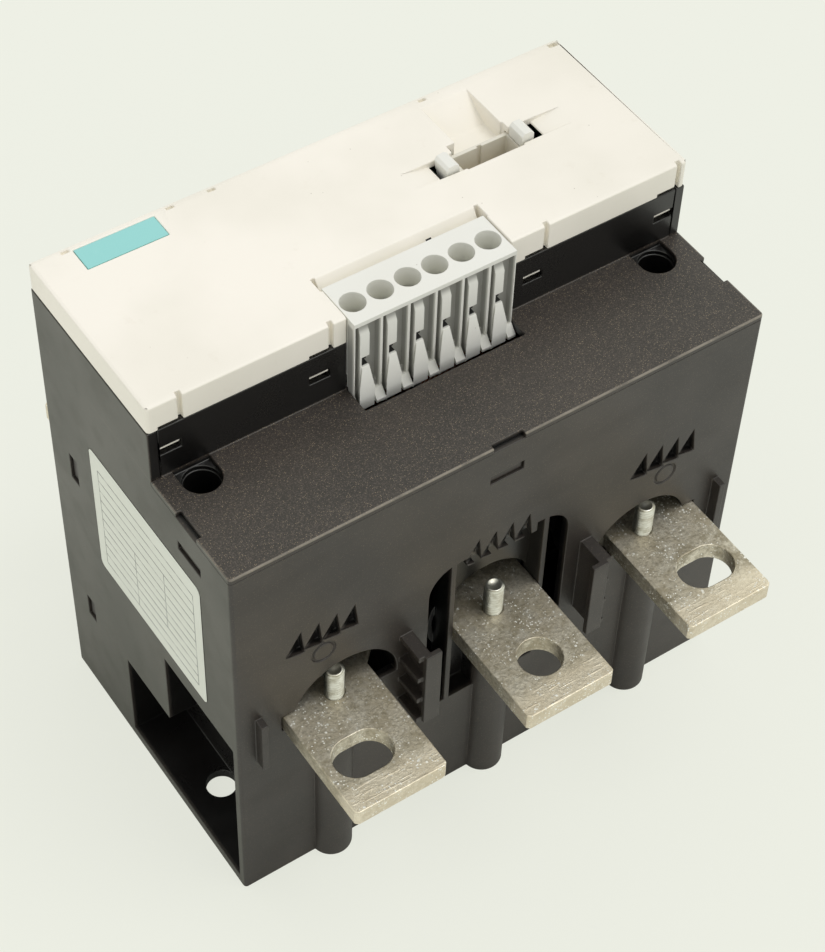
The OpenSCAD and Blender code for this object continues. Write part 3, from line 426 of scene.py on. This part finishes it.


def case_masks(skin):
    """Masks by place on the case: the terraces' tops, a painted highlight along their edges, painted shade
    within the case along with the riser, and the sides, which take a painted sheen.
    """
    x, y, z, front = abs(skin.axis("X")), abs(skin.axis("Y")), skin.axis("Z"), skin.axis("Y") * -1
    below_top = z < TERRACE_Z + TOP_BAND
    top = (z > TERRACE_Z - TOP_BAND) * below_top
    near_rim = front.ramp(CASE_Y - 0.55, CASE_Y - 0.3)
    side_rim = x.ramp(CASE_X - 0.5, CASE_X - 0.25)
    rim = near_rim.maths("MAXIMUM", near_rim, side_rim * 0.6)
    # painted highlight: a pale line along the terrace's near and side edges, torn by noise
    wear_and_edge_highlight = rim * z.ramp(TERRACE_Z - 0.5, TERRACE_Z - 0.3) * below_top * (front > CASE_Y - EDGE_HIGHLIGHT_DEPTH)
    wear_and_edge_highlight = wear_and_edge_highlight * skin.noise(7, detail=5).ramp(0.25, 0.6, 0.35, 1.0)
    # painted shade: everything within the case is darkened
    inside = x.ramp(CASE_X - 1.1, CASE_X - 0.5, 1, 0) * y.ramp(CASE_Y - 1.2, CASE_Y - 0.6, 1, 0)
    inside = inside * z.ramp(TERRACE_Z - 0.9, TERRACE_Z - 0.5, 1, 0)
    # the riser is painted near black as well
    riser = (z > TERRACE_Z + 0.35) * (x < CASE_X - 0.4) * (y < CASE_Y - RISER_DEPTH)
    return top, wear_and_edge_highlight, inside.maths("MAXIMUM", inside, riser), x > CASE_X - 0.1


print("the case's faces lie at", CASE_X, CASE_Y, "and its terrace at", TERRACE_Z)

# %% [markdown]
# The housing is glass-filled black plastic. It isn't black in the picture: it is a warm dark brown
# with a satin sheen, a fine grain from the mould, and pale specks of glass and dust. Colour, roughness
# and relief could each have a pattern of its own, but here they read the same noises, so that a patch
# of another tone also shines a little differently.

# %% Black moulded plastic
def black_moulding(name, dark, pale, sheen, dust, case=False):
    """Dark plastic with clouds, grain and specks. sheen is its middle roughness, dust how many specks it has,
    and case adds the masks that go by place: painted shade, a painted edge highlight and a painted side sheen."""
    skin = Finish(name)
    clouds = skin.noise(24, detail=4).ramp(0.3, 0.7)
    grain = skin.noise(0.5, detail=3, rough=0.65)
    glitter = skin.specks(0.4, 0.25, dust * 0.8) + skin.specks(0.9, 0.14, dust * 0.3)
    glitter = glitter.maths("MINIMUM", glitter, 1.0) * 0.4
    wiped = skin.noise(9, detail=3, space=skin.stretched(0.35, 1, 1)).ramp(0.45, 0.75)
    tone = skin.blend(clouds * 0.6 + grain.ramp(0.3, 0.7) * 0.4, dark, pale)
    if case:
        top, wear_and_edge_highlight, painted_shade_and_riser, painted_side_sheen = case_masks(skin)
        glitter = (glitter * (0.3 + top * 0.9)) * (1 - painted_shade_and_riser)
        sparkle = skin.noise(0.3, detail=2).ramp(0.46, 0.7) * top
        tone = skin.blend(sparkle * 0.42, tone, paint(112, 102, 92))
        # painted sheen: both sides of the case turn paler and greener, as a reflection of the pale floor would
        # make them
        tone = skin.blend(painted_side_sheen * 0.2, tone, paint(122, 126, 110))
        # painted shade: the case's inner faces go near black, and so does the riser
        tone = skin.blend(painted_shade_and_riser * 0.85, tone, paint(9, 10, 11))
        # painted highlight: the terrace's edges turn pale
        tone = skin.blend(wear_and_edge_highlight * 0.7, tone, paint(150, 142, 128))
        skin.set(Specular_IOR_Level=0.6)
        sheen = sheen - painted_shade_and_riser * 0.14
    skin.set(Base_Color=skin.blend(glitter, tone, paint(178, 160, 132)))
    skin.set(Roughness=sheen - clouds * 0.05 + grain * 0.08 + wiped * 0.06)
    return skin.relief(grain + skin.noise(0.2) * 0.6, 0.04, 0.6).material


FINISHES["black_plastic"] = black_moulding(
    "black_moulded_plastic", paint(36, 32, 29), paint(54, 48, 43), 0.42, 0.5, case=True)
FINISHES["sleeve_plastic"] = black_moulding(
    "tunnel_tube_plastic", paint(30, 29, 29), paint(40, 38, 37), 0.5, 0.04)
FINISHES["cradle_plastic"] = black_moulding(
    "cradle_plastic", paint(58, 56, 52), paint(70, 67, 62), 0.6, 0.02)
FINISHES["component_black"] = black_moulding(
    "component_casing", paint(34, 34, 36), paint(44, 44, 46), 0.45, 0.02)
dark_count = len(FINISHES)
print("dark plastics:", list(FINISHES))

# %% [markdown]
# The plug's poles are deep narrow channels, grey with shade, and each pole's tongue has a small window.
# The CAD cuts both, but in plain plastic they would be as pale as the front, so masks paint shade into
# what lies deep in them. The masks follow the plug's box and the pitch of its poles.

# %% Shading of the plug
def middle_x(node):
    """The middle of a node's width, in millimetres."""
    low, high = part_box(node)
    return (low.x + high.x) / 2 / MM


CHANNEL_SHADE = (2.15, 3.0)   # painted shade grows between these depths behind the plug's near side
CHANNEL_END = 4.6             # and ends at this depth, where the wells begin
CHANNEL_TOP = (2.4, 1.2)      # it fades out between these depths under the plug's top
WINDOW_MIDDLE = (3.3, 134.4)  # the window in a tongue: across from the left of its pole, and height
WINDOW_HALF = (1.3, 1.7)      # half its width and half its height
WINDOW_DEPTH = 2.6            # how far behind the near side its dark begins; it goes on to the back


def plug_shade(skin):
    """Painted shade in the plug's upright channels, and painted shade behind the window in each pole's tongue.
    """
    low, high = (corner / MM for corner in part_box("terminal_plug"))
    first, second = middle_x("clamp_cage_1"), middle_x("clamp_cage_2")
    pitch = second - first
    y, z = skin.axis("Y"), skin.axis("Z")
    down = z.ramp(high.z - CHANNEL_TOP[0], high.z - CHANNEL_TOP[1], 1, 0)
    # painted shade: the channels turn grey with depth
    painted_channel_shade = (y.ramp(low.y + CHANNEL_SHADE[0], low.y + CHANNEL_SHADE[1]) * down) * 0.68
    painted_channel_shade = painted_channel_shade * (y < low.y + CHANNEL_END)
    turns = (skin.axis("X") - (first - pitch / 2)) * (1 / pitch)
    bay = turns.maths("FRACT", turns) * pitch
    # painted shade: near black behind each tongue's window
    window = (abs(bay - WINDOW_MIDDLE[0]) < WINDOW_HALF[0]) * (abs(z - WINDOW_MIDDLE[1]) < WINDOW_HALF[1])
    window = window * (y > low.y + WINDOW_DEPTH)
    return (painted_channel_shade, paint(112, 112, 106)), (window * 0.95, paint(16, 18, 18))


print("grime runs", CHANNEL_SHADE[0], "to", CHANNEL_END, "mm behind the plug's near side")

# %% [markdown]
# The cover, the plug and the socket are pale plastics, and so is the teal plate in the cover. A flat
# off-white looks like paper, so each gets a fine grain, slow clouds of yellowing, and a few greyish rubs
# where hands and screwdrivers touch it. Only the plug also takes the shading worked out above.

# %% Pale moulded plastics
def pale_moulding(name, clean, aged, wear_and_edge_highlight, sheen, wear, shade=None):
    """Pale plastic: clean to aged in slow clouds and towards the right side, worn in small patches,
    and darker where the masks that shade gives paint shade."""
    skin = Finish(name)
    age = skin.noise(38, detail=3).ramp(0.35, 0.7) * 0.6 + skin.axis("X").ramp(0, 90) * 0.4
    grain = skin.noise(0.5, detail=2)
    patches = skin.noise(5.5, detail=5, rough=0.65).ramp(0.58, 0.8)
    rubs = (patches * skin.noise(21).ramp(0.45, 0.65)) * wear
    specks = skin.specks(2.6, 0.07, 0.12) * 0.35
    tone = skin.blend(age, clean, aged)
    # on the pale plastics this colour is real wear: greyish rubs in small patches
    tone = skin.blend(rubs, tone, wear_and_edge_highlight)
    # painted shade from the plug's masks
    for mask, colour in shade(skin) if shade else ():
        tone = skin.blend(mask, tone, colour)
    skin.set(Base_Color=skin.blend(specks, tone, paint(150, 140, 122)))
    skin.set(Roughness=sheen + grain * 0.08 - rubs * 0.1)
    return skin.relief(grain, 0.02, 0.35).material


FINISHES["cover_plastic"] = pale_moulding(
    "cover_plastic", paint(249, 244, 232), paint(234, 230, 216), paint(222, 214, 196), 0.45, 0.45)
FINISHES["plug_plastic"] = pale_moulding(
    "plug_plastic", paint(236, 236, 228), paint(230, 229, 219), paint(204, 203, 192), 0.42, 0.3,
    plug_shade)
FINISHES["socket_plastic"] = pale_moulding(
    "socket_plastic", paint(228, 224, 210), paint(219, 215, 200), paint(190, 186, 172), 0.5, 0.4)
FINISHES["plate_colour"] = pale_moulding(
    "plate_colour", paint(150, 214, 210), paint(158, 218, 214), paint(178, 226, 222), 0.4, 0.5)
print("pale plastics:", list(FINISHES)[dark_count:])

# %% [markdown]
# The bars are copper under a thin coat of tin. Tin is a soft grey metal: it scratches along the bar,
# it catches pale specks, and at the tips, where lugs were bolted and taken off, it wears through to a
# warmer tone. The wear is a mask on the distance from the middle of the case, torn by noise.

# %% Tinned bars
TIP_WEAR = (67.0, 71.5)   # the tips wear between these distances from the case's middle


def tinned_bar():
    """Grey tin with stains, patches, drag marks along the bar and pale flecks, worn warm at the tips."""
    metal = Finish("tinned_copper", Metallic=0.92)
    stain = metal.noise(4.5, detail=6, rough=0.7).ramp(0.36, 0.64)
    patches = metal.noise(11, detail=4).ramp(0.4, 0.65)
    mottle = metal.noise(0.9, detail=4, rough=0.75).ramp(0.42, 0.64)
    drag = metal.noise(0.8, detail=3, space=metal.stretched(1, 0.06, 1))
    cross = metal.noise(0.7, detail=2, space=metal.stretched(0.08, 1, 1)).ramp(0.55, 0.75)
    crowd = metal.noise(6, detail=3).ramp(0.42, 0.6, 0.2, 1.0)
    flecks = metal.specks(0.55, 0.34, 0.26) + metal.specks(0.95, 0.25, 0.26)
    flecks = flecks + metal.specks(1.7, 0.2, 0.3)
    specks = flecks.maths("MINIMUM", flecks, 1.0) * crowd
    reach = abs(metal.axis("Y")) + metal.noise(3, detail=3) * 5
    tip = reach.ramp(*TIP_WEAR)
    tone = metal.blend(stain, paint(230, 223, 207), paint(172, 163, 143))
    tone = metal.blend(patches * 0.45, tone, paint(196, 185, 163))
    tone = metal.blend(mottle * 0.35, tone, paint(124, 116, 99))
    tone = metal.blend(tip * 0.55, tone, paint(244, 232, 210))
    metal.set(Base_Color=metal.blend(specks * 0.95, tone, paint(252, 251, 246)))
    metal.set(Roughness=0.33 + stain * 0.12 + drag * 0.14 + specks * 0.12 + cross * tip * 0.12)
    height = drag * 0.5 + specks * 0.7 + cross * tip + mottle * 0.5 + metal.noise(1.6, detail=3) * 0.7
    return metal.relief(height, 0.06, 0.7).material


def bright_metal(name, tone, stain, shine):
    """Plated metal with fine drawing marks and small clouds."""
    metal = Finish(name, Metallic=1.0)
    clouds = metal.noise(2.2, detail=4).ramp(0.35, 0.7)
    marks = metal.noise(0.25, detail=2)
    metal.set(Base_Color=metal.blend(clouds, tone, stain), Roughness=shine + clouds * 0.12 + marks * 0.08)
    return metal.relief(marks, 0.01, 0.4).material


FINISHES["tinned_copper"] = tinned_bar()
FINISHES["zinc_steel"] = bright_metal("zinc_steel", paint(222, 221, 212), paint(192, 188, 174), 0.3)
FINISHES["brass"] = bright_metal("brass", paint(206, 178, 112), paint(178, 148, 90), 0.28)
FINISHES["contact_gold"] = bright_metal("contact_gold", paint(224, 188, 106), paint(204, 166, 90), 0.2)
FINISHES["core_iron"] = bright_metal("core_iron", paint(112, 110, 106), paint(86, 84, 82), 0.4)
print("metals are ready")

# %% [markdown]
# Inside the case lie the wound coils and the circuit board. Enamelled wire is a warm copper red with
# the ridges of its turns. The board is green lacquer over a faint web of tracks. Turns and tracks could
# be modelled, but so little of them shows that a wave and a noise are enough.

# %% Coils and board
def wound_wire():
    """Enamelled wire whose turns are the bands of a wave along the coil."""
    wire = Finish("wound_wire", Coat_Roughness=0.2)
    turns = wire.node("TexWave", {"wave_type": "BANDS", "bands_direction": "Y"},
                      {"Vector": wire.place, "Scale": 320.0, "Distortion": 0.6, "Detail": 1.0})
    # painted shade and light: the darker and paler bands stand for the rounded turns
    tone = wire.blend(turns, paint(96, 44, 22), paint(176, 96, 52))
    wire.set(Base_Color=wire.blend(wire.noise(6).ramp(0.4, 0.7) * 0.4, tone, paint(120, 62, 30)))
    wire.set(Roughness=0.32 + turns * 0.1, Coat_Weight=0.5 * turns)
    return wire.relief(turns, 0.12, 0.8).material


def board_lacquer():
    """Green lacquer, with tracks wherever a slow noise passes its middle value."""
    board = Finish("board_lacquer", Coat_Roughness=0.1)
    tracks = abs(board.noise(6, detail=1) - 0.5) < 0.02
    tone = board.blend(tracks, paint(24, 74, 46), paint(52, 112, 70))
    board.set(Base_Color=tone, Roughness=0.3 + board.noise(1.2) * 0.15, Coat_Weight=0.3 + tracks * 0.2)
    return board.relief(tracks, 0.03, 0.5).material


FINISHES["winding"] = wound_wire()
FINISHES["board_green"] = board_lacquer()
print("coil and board finishes are ready")

# %% [markdown]
# The rating label on the left side is left bare of words. What stays is what any such label has: paper
# with a slight sheen, and thin ruled lines that divide it into empty fields. The lines are drawn by
# the material, because ink has no thickness.

# %% Label stock
LEVEL_LINES = (4, 7.5, 11, 14.2, 17.5, 20.7, 24, 27.5, 31, 34.5, 38)       # heights on the label
UPRIGHT_LINES = ((3.5, 4, 38), (46.5, 4, 38), (17, 11, 31), (31, 4, 24))   # place along it, foot, head
LINE_REACH = 21.5   # half the length of a level line


def ruled_label():
    """Paper with ruled lines: each line is a mask on the distance from its middle, and all are joined."""
    paper = Finish("label_stock")
    low, high = (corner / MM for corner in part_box("side_label"))
    along, up = paper.axis("Y"), paper.axis("Z")
    rules = []
    for line in LEVEL_LINES:
        rules.append((abs(up - (low.z + line)) < 0.2) * (abs(along - (low.y + high.y) / 2) < LINE_REACH))
    for line, foot, head in UPRIGHT_LINES:
        rules.append((abs(along - (low.y + line)) < 0.14)
                     * (abs(up - (low.z + (foot + head) / 2)) < (head - foot) / 2))
    ink = rules[0]
    for rule in rules[1:]:
        ink = ink.maths("MAXIMUM", ink, rule)
    fibre = paper.noise(0.4, detail=3)
    worn = paper.noise(3, detail=4).ramp(0.3, 0.55, 0.35, 1.0)
    tone = paper.blend(paper.noise(17, detail=2), paint(222, 225, 213), paint(231, 234, 223))
    paper.set(Base_Color=paper.blend(ink * worn * 0.8, tone, paint(84, 86, 86)))
    paper.set(Roughness=0.38 + fibre * 0.15)
    return paper.relief(fibre, 0.01, 0.3).material


FINISHES["label_stock"] = ruled_label()
print(len(FINISHES), "finishes")

# %% [markdown]
# A new piece needs the finish of its slot, the body that it moves with, and the CAD nodes that it stands for
# hidden. They could be set anew at each piece, but one function does it all, so that none is forgotten.

# %% How a piece joins the object
BODIES = frame["record"]["behaviour"]["bodies"]
BODY_OF = {node: body for body, nodes in BODIES.items() for node in nodes}


def slot_of(node):
    """The record's finish for a node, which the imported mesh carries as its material's name."""
    return frame["nodes"][node].data.materials[0].name.split(".")[0]


SLOT_OF = {node: slot_of(node) for node in frame["nodes"]}


def add_piece(name, mesh, body, slot, stands_for=()):
    """Links a mesh as a piece of the object, with the finish of its slot and its body, and hides the nodes it
    stands for.
    """
    made = bpy.data.objects.new(name, mesh)
    bpy.context.scene.collection.objects.link(made)
    mesh.materials.clear()
    mesh.materials.append(FINISHES[slot])
    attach(made, body)
    if stands_for:
        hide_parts(*stands_for)
    return made


print(len(SLOT_OF), "nodes use the slots", sorted(set(SLOT_OF.values())))

# %% [markdown]
# No real moulding has a razor edge: the tool leaves a radius of a few tenths of a millimetre, and it is
# that thin highlight that makes a part look solid. A bevel on the CAD node itself would work on loose
# triangles, so a copy is merged, its flat faces are joined, and only edges that turn sharply are
# rounded. A second modifier then lets the large faces rule the shading, so that the flats stay flat.
# The copy stands for the node, and the node stays for the physics.

# %% Soft edges on copies of the CAD parts
SAME_PLACE, TOO_SHORT = 1e-6, 4e-6   # metres: corners that are one, edges that are none
FLAT_ANGLE, SHARP_ANGLE = math.radians(0.2), math.radians(32)


def merged_copy(node):
    """The node's mesh with its corners merged and its flat faces joined."""
    mesh = frame["nodes"][node].data.copy()
    mesh.name = node + "_soft"
    shell = bmesh.new()
    shell.from_mesh(mesh)
    bmesh.ops.remove_doubles(shell, verts=shell.verts, dist=SAME_PLACE)
    bmesh.ops.dissolve_degenerate(shell, edges=shell.edges, dist=TOO_SHORT)
    bmesh.ops.join_triangles(shell, faces=shell.faces, angle_face_threshold=FLAT_ANGLE,
                             angle_shape_threshold=math.pi, cmp_seam=False, cmp_sharp=False)
    shell.to_mesh(mesh)
    shell.free()
    mesh.shade_smooth()
    return mesh


def soften(node, radius):
    """A copy of the node whose sharp edges are rounded by about radius millimetres."""
    made = add_piece(node + "_soft", merged_copy(node), BODY_OF[node], SLOT_OF[node], [node])
    bevel = made.modifiers.new("round_edges", "BEVEL")
    bevel.width, bevel.segments = radius * MM, 2
    bevel.limit_method, bevel.angle_limit = "ANGLE", SHARP_ANGLE
    bevel.use_clamp_overlap, bevel.loop_slide = False, False
    bevel.face_strength_mode = "FSTR_ALL"
    flat = made.modifiers.new("flat_faces", "WEIGHTED_NORMAL")
    flat.mode, flat.weight = "FACE_AREA", 100
    flat.keep_sharp, flat.use_face_influence = True, True
    return made


ROUNDED = {   # the width of each part's rounded edges, in millimetres
    "base_housing": 0.25, "end_panel": 0.25, "terrace_cover": 0.25,
    "front_cover": 0.3, "colour_plate": 0.12,
    "left_busbar": 0.3, "middle_busbar": 0.3, "right_busbar": 0.3, "terminal_plug": 0.12,
    "ribbon_socket": 0.15, "left_ejector": 0.15, "right_ejector": 0.15,
}
ROUNDED.update({f"clamp_screw_{i}": 0.12 for i in range(1, 7)})
ROUNDED.update({f"clamp_cage_{i}": 0.1 for i in range(1, 7)})
soft = {node: soften(node, radius) for node, radius in ROUNDED.items()}
housing_faces = len(finished_mesh(soft["base_housing"]).polygons)
print("softened", len(soft), "parts; the housing has", housing_faces, "faces")

# %% [markdown]
# The parts that stay as CAD made them still need their finish. They could be copied and dressed as the
# others are, but they lie inside or, as the label, are too thin to be rounded. So each keeps its object
# and only its material slot changes.

# %% Finishes for the parts that stay
for node, thing in frame["nodes"].items():
    if node not in ROUNDED:
        thing.data.materials[0] = FINISHES[SLOT_OF[node]]
print("plain parts:", len(frame["nodes"]) - len(ROUNDED))

# %% [markdown]
# A curved surface can be pushed and pulled by hand, but one that follows a rule is better worked out:
# numpy lays its points in rows and columns, and neighbours are joined by quads. Where points fall
# together, at a pole or a seam, they are merged, and the faces are then turned to point outwards.

# %% A mesh from a grid of points
def grid_mesh(name, points, wrap):
    """Quads between neighbours in a (rows, columns, 3) array; wrap joins the last column to the first."""
    rows, columns = points.shape[:2]
    number = np.arange(rows * columns).reshape(rows, columns)
    if wrap:
        number = np.concatenate([number, number[:, :1]], axis=1)
    quads = np.stack([number[:-1, :-1], number[:-1, 1:], number[1:, 1:], number[1:, :-1]], -1)
    mesh = bpy.data.meshes.new(name)
    mesh.from_pydata(points.reshape(-1, 3).tolist(), [], quads.reshape(-1, 4).tolist())
    shell = bmesh.new()
    shell.from_mesh(mesh)
    bmesh.ops.remove_doubles(shell, verts=shell.verts, dist=1e-7)
    bmesh.ops.recalc_face_normals(shell, faces=shell.faces)
    shell.to_mesh(mesh)
    shell.free()
    mesh.shade_smooth()
    return mesh


print("grids of points can now become meshes")

# %% [markdown]
# The studs are small threaded rods. A thread could be modelled with the Screw modifier, but as a
# formula it is one line: the radius dips by the thread's depth along a saw-tooth that climbs one pitch
# per turn. The thread fades in above the bar and out at the chamfered end, which has a round dimple.

# %% Threaded studs
THREAD_START, THREAD_PITCH, THREAD_DEPTH = 4.2, 0.9, 0.5   # all in millimetres
CHAMFER, DIMPLE_DEPTH = 0.45, 0.25
DIMPLE_RIM, DIMPLE_FLOOR = 0.62, 0.55   # radii of the dimple, as shares of the rod's


def thread_points(radius, height):
    """A rod as a function of the way along its outline and the angle round it. The outline runs from
    the foot's middle out, up the side and over the dimpled end. On the side, the radius is
    radius - depth * fade(z) * saw(z / pitch - angle / turn), where saw goes 0, 1, 0 in each pitch."""
    side = np.linspace(0.0, height, 190)
    end = [radius - CHAMFER, radius * DIMPLE_RIM, radius * DIMPLE_FLOOR, 0.0]
    out = np.concatenate([[0.0], np.full(side.size, radius), end])
    up = np.concatenate([[0.0], side, [height, height, height - DIMPLE_DEPTH, height - DIMPLE_DEPTH]])
    z, angle = np.meshgrid(up, np.linspace(0, 2 * np.pi, 49)[:-1], indexing="ij")
    r = np.broadcast_to(out[:, None], z.shape).copy()
    saw = 1 - np.abs(2 * np.mod(z / THREAD_PITCH - angle / (2 * np.pi), 1.0) - 1)
    fade = np.clip((z - THREAD_START) / 0.5, 0, 1) * np.clip((height - z) / 0.6, 0, 1)
    chamfer = CHAMFER * np.clip((z - height + 0.5) / 0.5, 0, 1)
    on_side = r >= radius
    r = np.where(on_side, r - THREAD_DEPTH * fade * np.clip(saw * 1.25, 0, 1) - chamfer, r)
    return np.stack([r * np.cos(angle), r * np.sin(angle), z], axis=-1)


SIDES = ("left", "middle", "right")
stud_low, stud_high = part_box("busbar_studs")
stud_radius = (stud_high.y - stud_low.y) / 2
stud_line = (stud_high.y + stud_low.y) / 2
stud_places = np.linspace(stud_low.x + stud_radius, stud_high.x - stud_radius, 3)
one_stud = thread_points(stud_radius / MM, (stud_high.z - stud_low.z) / MM) * MM
for name, x in zip(SIDES, stud_places):
    rod = grid_mesh(name + "_stud", one_stud + np.array([x, stud_line, stud_low.z]), True)
    add_piece(name + "_threaded_stud", rod, "module", "zinc_steel", ["busbar_studs"])
print("stud radius", round(stud_radius / MM, 2), "mm at x", [round(x / MM, 1) for x in stud_places])

# %% [markdown]
# A few slots in the recess behind the plug show only as small dark openings. They are placed where the
# photograph shows them: a ray through each image point finds the wall, and a thin dark plate is laid on it
# as painted shade for the opening. Cutting them into the cover would be truer, but they are only a millimetre or
# two wide.

# %% Painted shade for the slots behind the plug
SLOT_SIZES = {   # width and height in millimetres
    "recess_slot_wide": (1.5, 3.0), "recess_slot_middle": (1.6, 0.9), "recess_slot_left": (1.8, 0.8)}
INLAY_MIDDLE, INLAY_RIM, INLAY_THICKNESS = 0.06, 0.01, 0.1   # heights over the wall, and thickness


def slot_shade_plate(name, width, height):
    """A thin plate of width by height, lying on the wall where the ray through the point of its name
    meets it. Across and up run from -1 to 1, and the rim lies lower than the middle."""
    place, normal = meet(tree_of([soft["front_cover"]]), *POINTS[name])
    across = Vector((1, 0, 0))
    up = normal.cross(across).normalized()
    up = up if up.z > 0 else -up
    u, v = np.meshgrid([-1, -0.9, 0.9, 1], [-1, -0.9, 0.9, 1], indexing="ij")
    rise = np.where((abs(u) < 1) & (abs(v) < 1), INLAY_MIDDLE, INLAY_RIM) * MM
    top = (np.array(place) + u[..., None] * np.array(across) * width / 2 * MM
           + v[..., None] * np.array(up) * height / 2 * MM + rise[..., None] * np.array(normal))
    # a dark plate as painted shade where the slot would open
    made = add_piece(name, grid_mesh(name, top, False), "module", "component_black")
    made.modifiers.new("thickness", "SOLIDIFY").thickness = INLAY_THICKNESS * MM
    return made


slots = {name: slot_shade_plate(name, *size) for name, size in SLOT_SIZES.items()}
for name, thing in slots.items():
    print(name, "lies at", [round(v / MM, 1) for v in thing.data.vertices[0].co], "mm")

# %% [markdown]
# A modelled feature is a corner or an edge, and rounding moves it a little.

# %% Finished vertices of a piece
def all_pixels():
    """Pixels of every finished vertex of every piece, as one array."""
    rows = []
    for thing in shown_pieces():
        mesh = finished_mesh(thing)
        spots = np.empty(len(mesh.vertices) * 3)
        mesh.vertices.foreach_get("co", spots)
        rows.append(spots.reshape(-1, 3))
    spots = np.concatenate(rows)
    back = np.array(camera.matrix_world.inverted())
    seen = spots @ back[:3, :3].T + back[:3, 3]
    across, up = seen[:, 0] / -seen[:, 2] * REACH, seen[:, 1] / -seen[:, 2] * REACH
    return np.stack([WIDE / 2 + across, HIGH / 2 - up], 1)


def nearest_vertex(thing, place):
    """The finished vertex of a piece that lies nearest to a place."""
    spots = [vertex.co.copy() for vertex in finished_mesh(thing).vertices]
    return min(spots, key=lambda spot: (spot - Vector(place)).length)


def corner(thing, x, y, z):
    """The finished vertex nearest to a corner of the piece's box; each of x, y, z is 0 or 1."""
    spots = [vertex.co for vertex in finished_mesh(thing).vertices]
    low = Vector(min(spot[i] for spot in spots) for i in range(3))
    high = Vector(max(spot[i] for spot in spots) for i in range(3))
    return nearest_vertex(thing, [high[i] if pick else low[i] for i, pick in enumerate((x, y, z))])


every = all_pixels()
print("the object shows from", every.min(axis=0).round(1), "to", every.max(axis=0).round(1), "pixels")

# %% [markdown]
# Last, the script checks itself. For each image point it takes the finished vertex nearest to the
# feature, works out where it shows, and writes how far that is from the point, so that a drifting camera
# or a moved part is seen at once. The two boxes tell whether the dressed model kept the CAD's size.

# %% Check the points and the size
cover, housing, terrace, plug = (
    soft[node] for node in ("front_cover", "base_housing", "terrace_cover", "terminal_plug"))
left_bar, middle_bar, right_bar = (soft[side + "_busbar"] for side in SIDES)
near_y, far_y, terrace_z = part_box("terrace_cover")[0].y, CASE_Y * MM, TERRACE_Z * MM
plug_front, lip_low = -12.4 * MM, 146.2 * MM   # the lower near edge of the lip round the plug's top
plug_low, plug_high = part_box("terminal_plug")
found = {
    "object_left": (every[:, 0].min(), None), "object_right": (every[:, 0].max(), None),
    "object_top": (None, every[:, 1].min()), "object_bottom": (None, every[:, 1].max()),
    "cover_far_right": pixel(corner(cover, 1, 1, 1)),
    "cover_near_left": pixel(corner(cover, 0, 0, 1)),
    "cover_near_right": pixel(corner(cover, 1, 0, 1)),
    "terrace_near_left": pixel(nearest_vertex(terrace, (cad_low.x, near_y, terrace_z))),
    "terrace_near_right": pixel(nearest_vertex(terrace, (cad_high.x, near_y, terrace_z))),
    "base_near_left": pixel(nearest_vertex(housing, (cad_low.x, near_y, 0))),
    "base_far_left": pixel(nearest_vertex(housing, (cad_low.x, far_y, 0))),
    "left_bar_tip": pixel(corner(left_bar, 0, 0, 1)),
    "middle_bar_tip": pixel(corner(middle_bar, 1, 0, 1)),
    "right_bar_tip": pixel(corner(right_bar, 1, 0, 1)),
    "plug_left": pixel(nearest_vertex(plug, (plug_low.x, plug_front, lip_low))),
    "plug_right": pixel(nearest_vertex(plug, (plug_high.x, plug_front, lip_low))),
    "plate_corner": pixel(corner(soft["colour_plate"], 1, 1, 1)),
}
for name, thing in slots.items():
    spots = [vertex.co for vertex in thing.data.vertices]
    found[name] = pixel(sum(spots, Vector()) / len(spots))
misses = {name: [None if want is None else round(float(have - want), 1)
                 for have, want in zip(found[name], POINTS[name])] for name in POINTS}
shown_low, shown_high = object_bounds()
print("points:", misses)
change = (shown_high - shown_low) - (cad_high - cad_low)
print("size change in mm:", [round(side / MM, 3) for side in change])
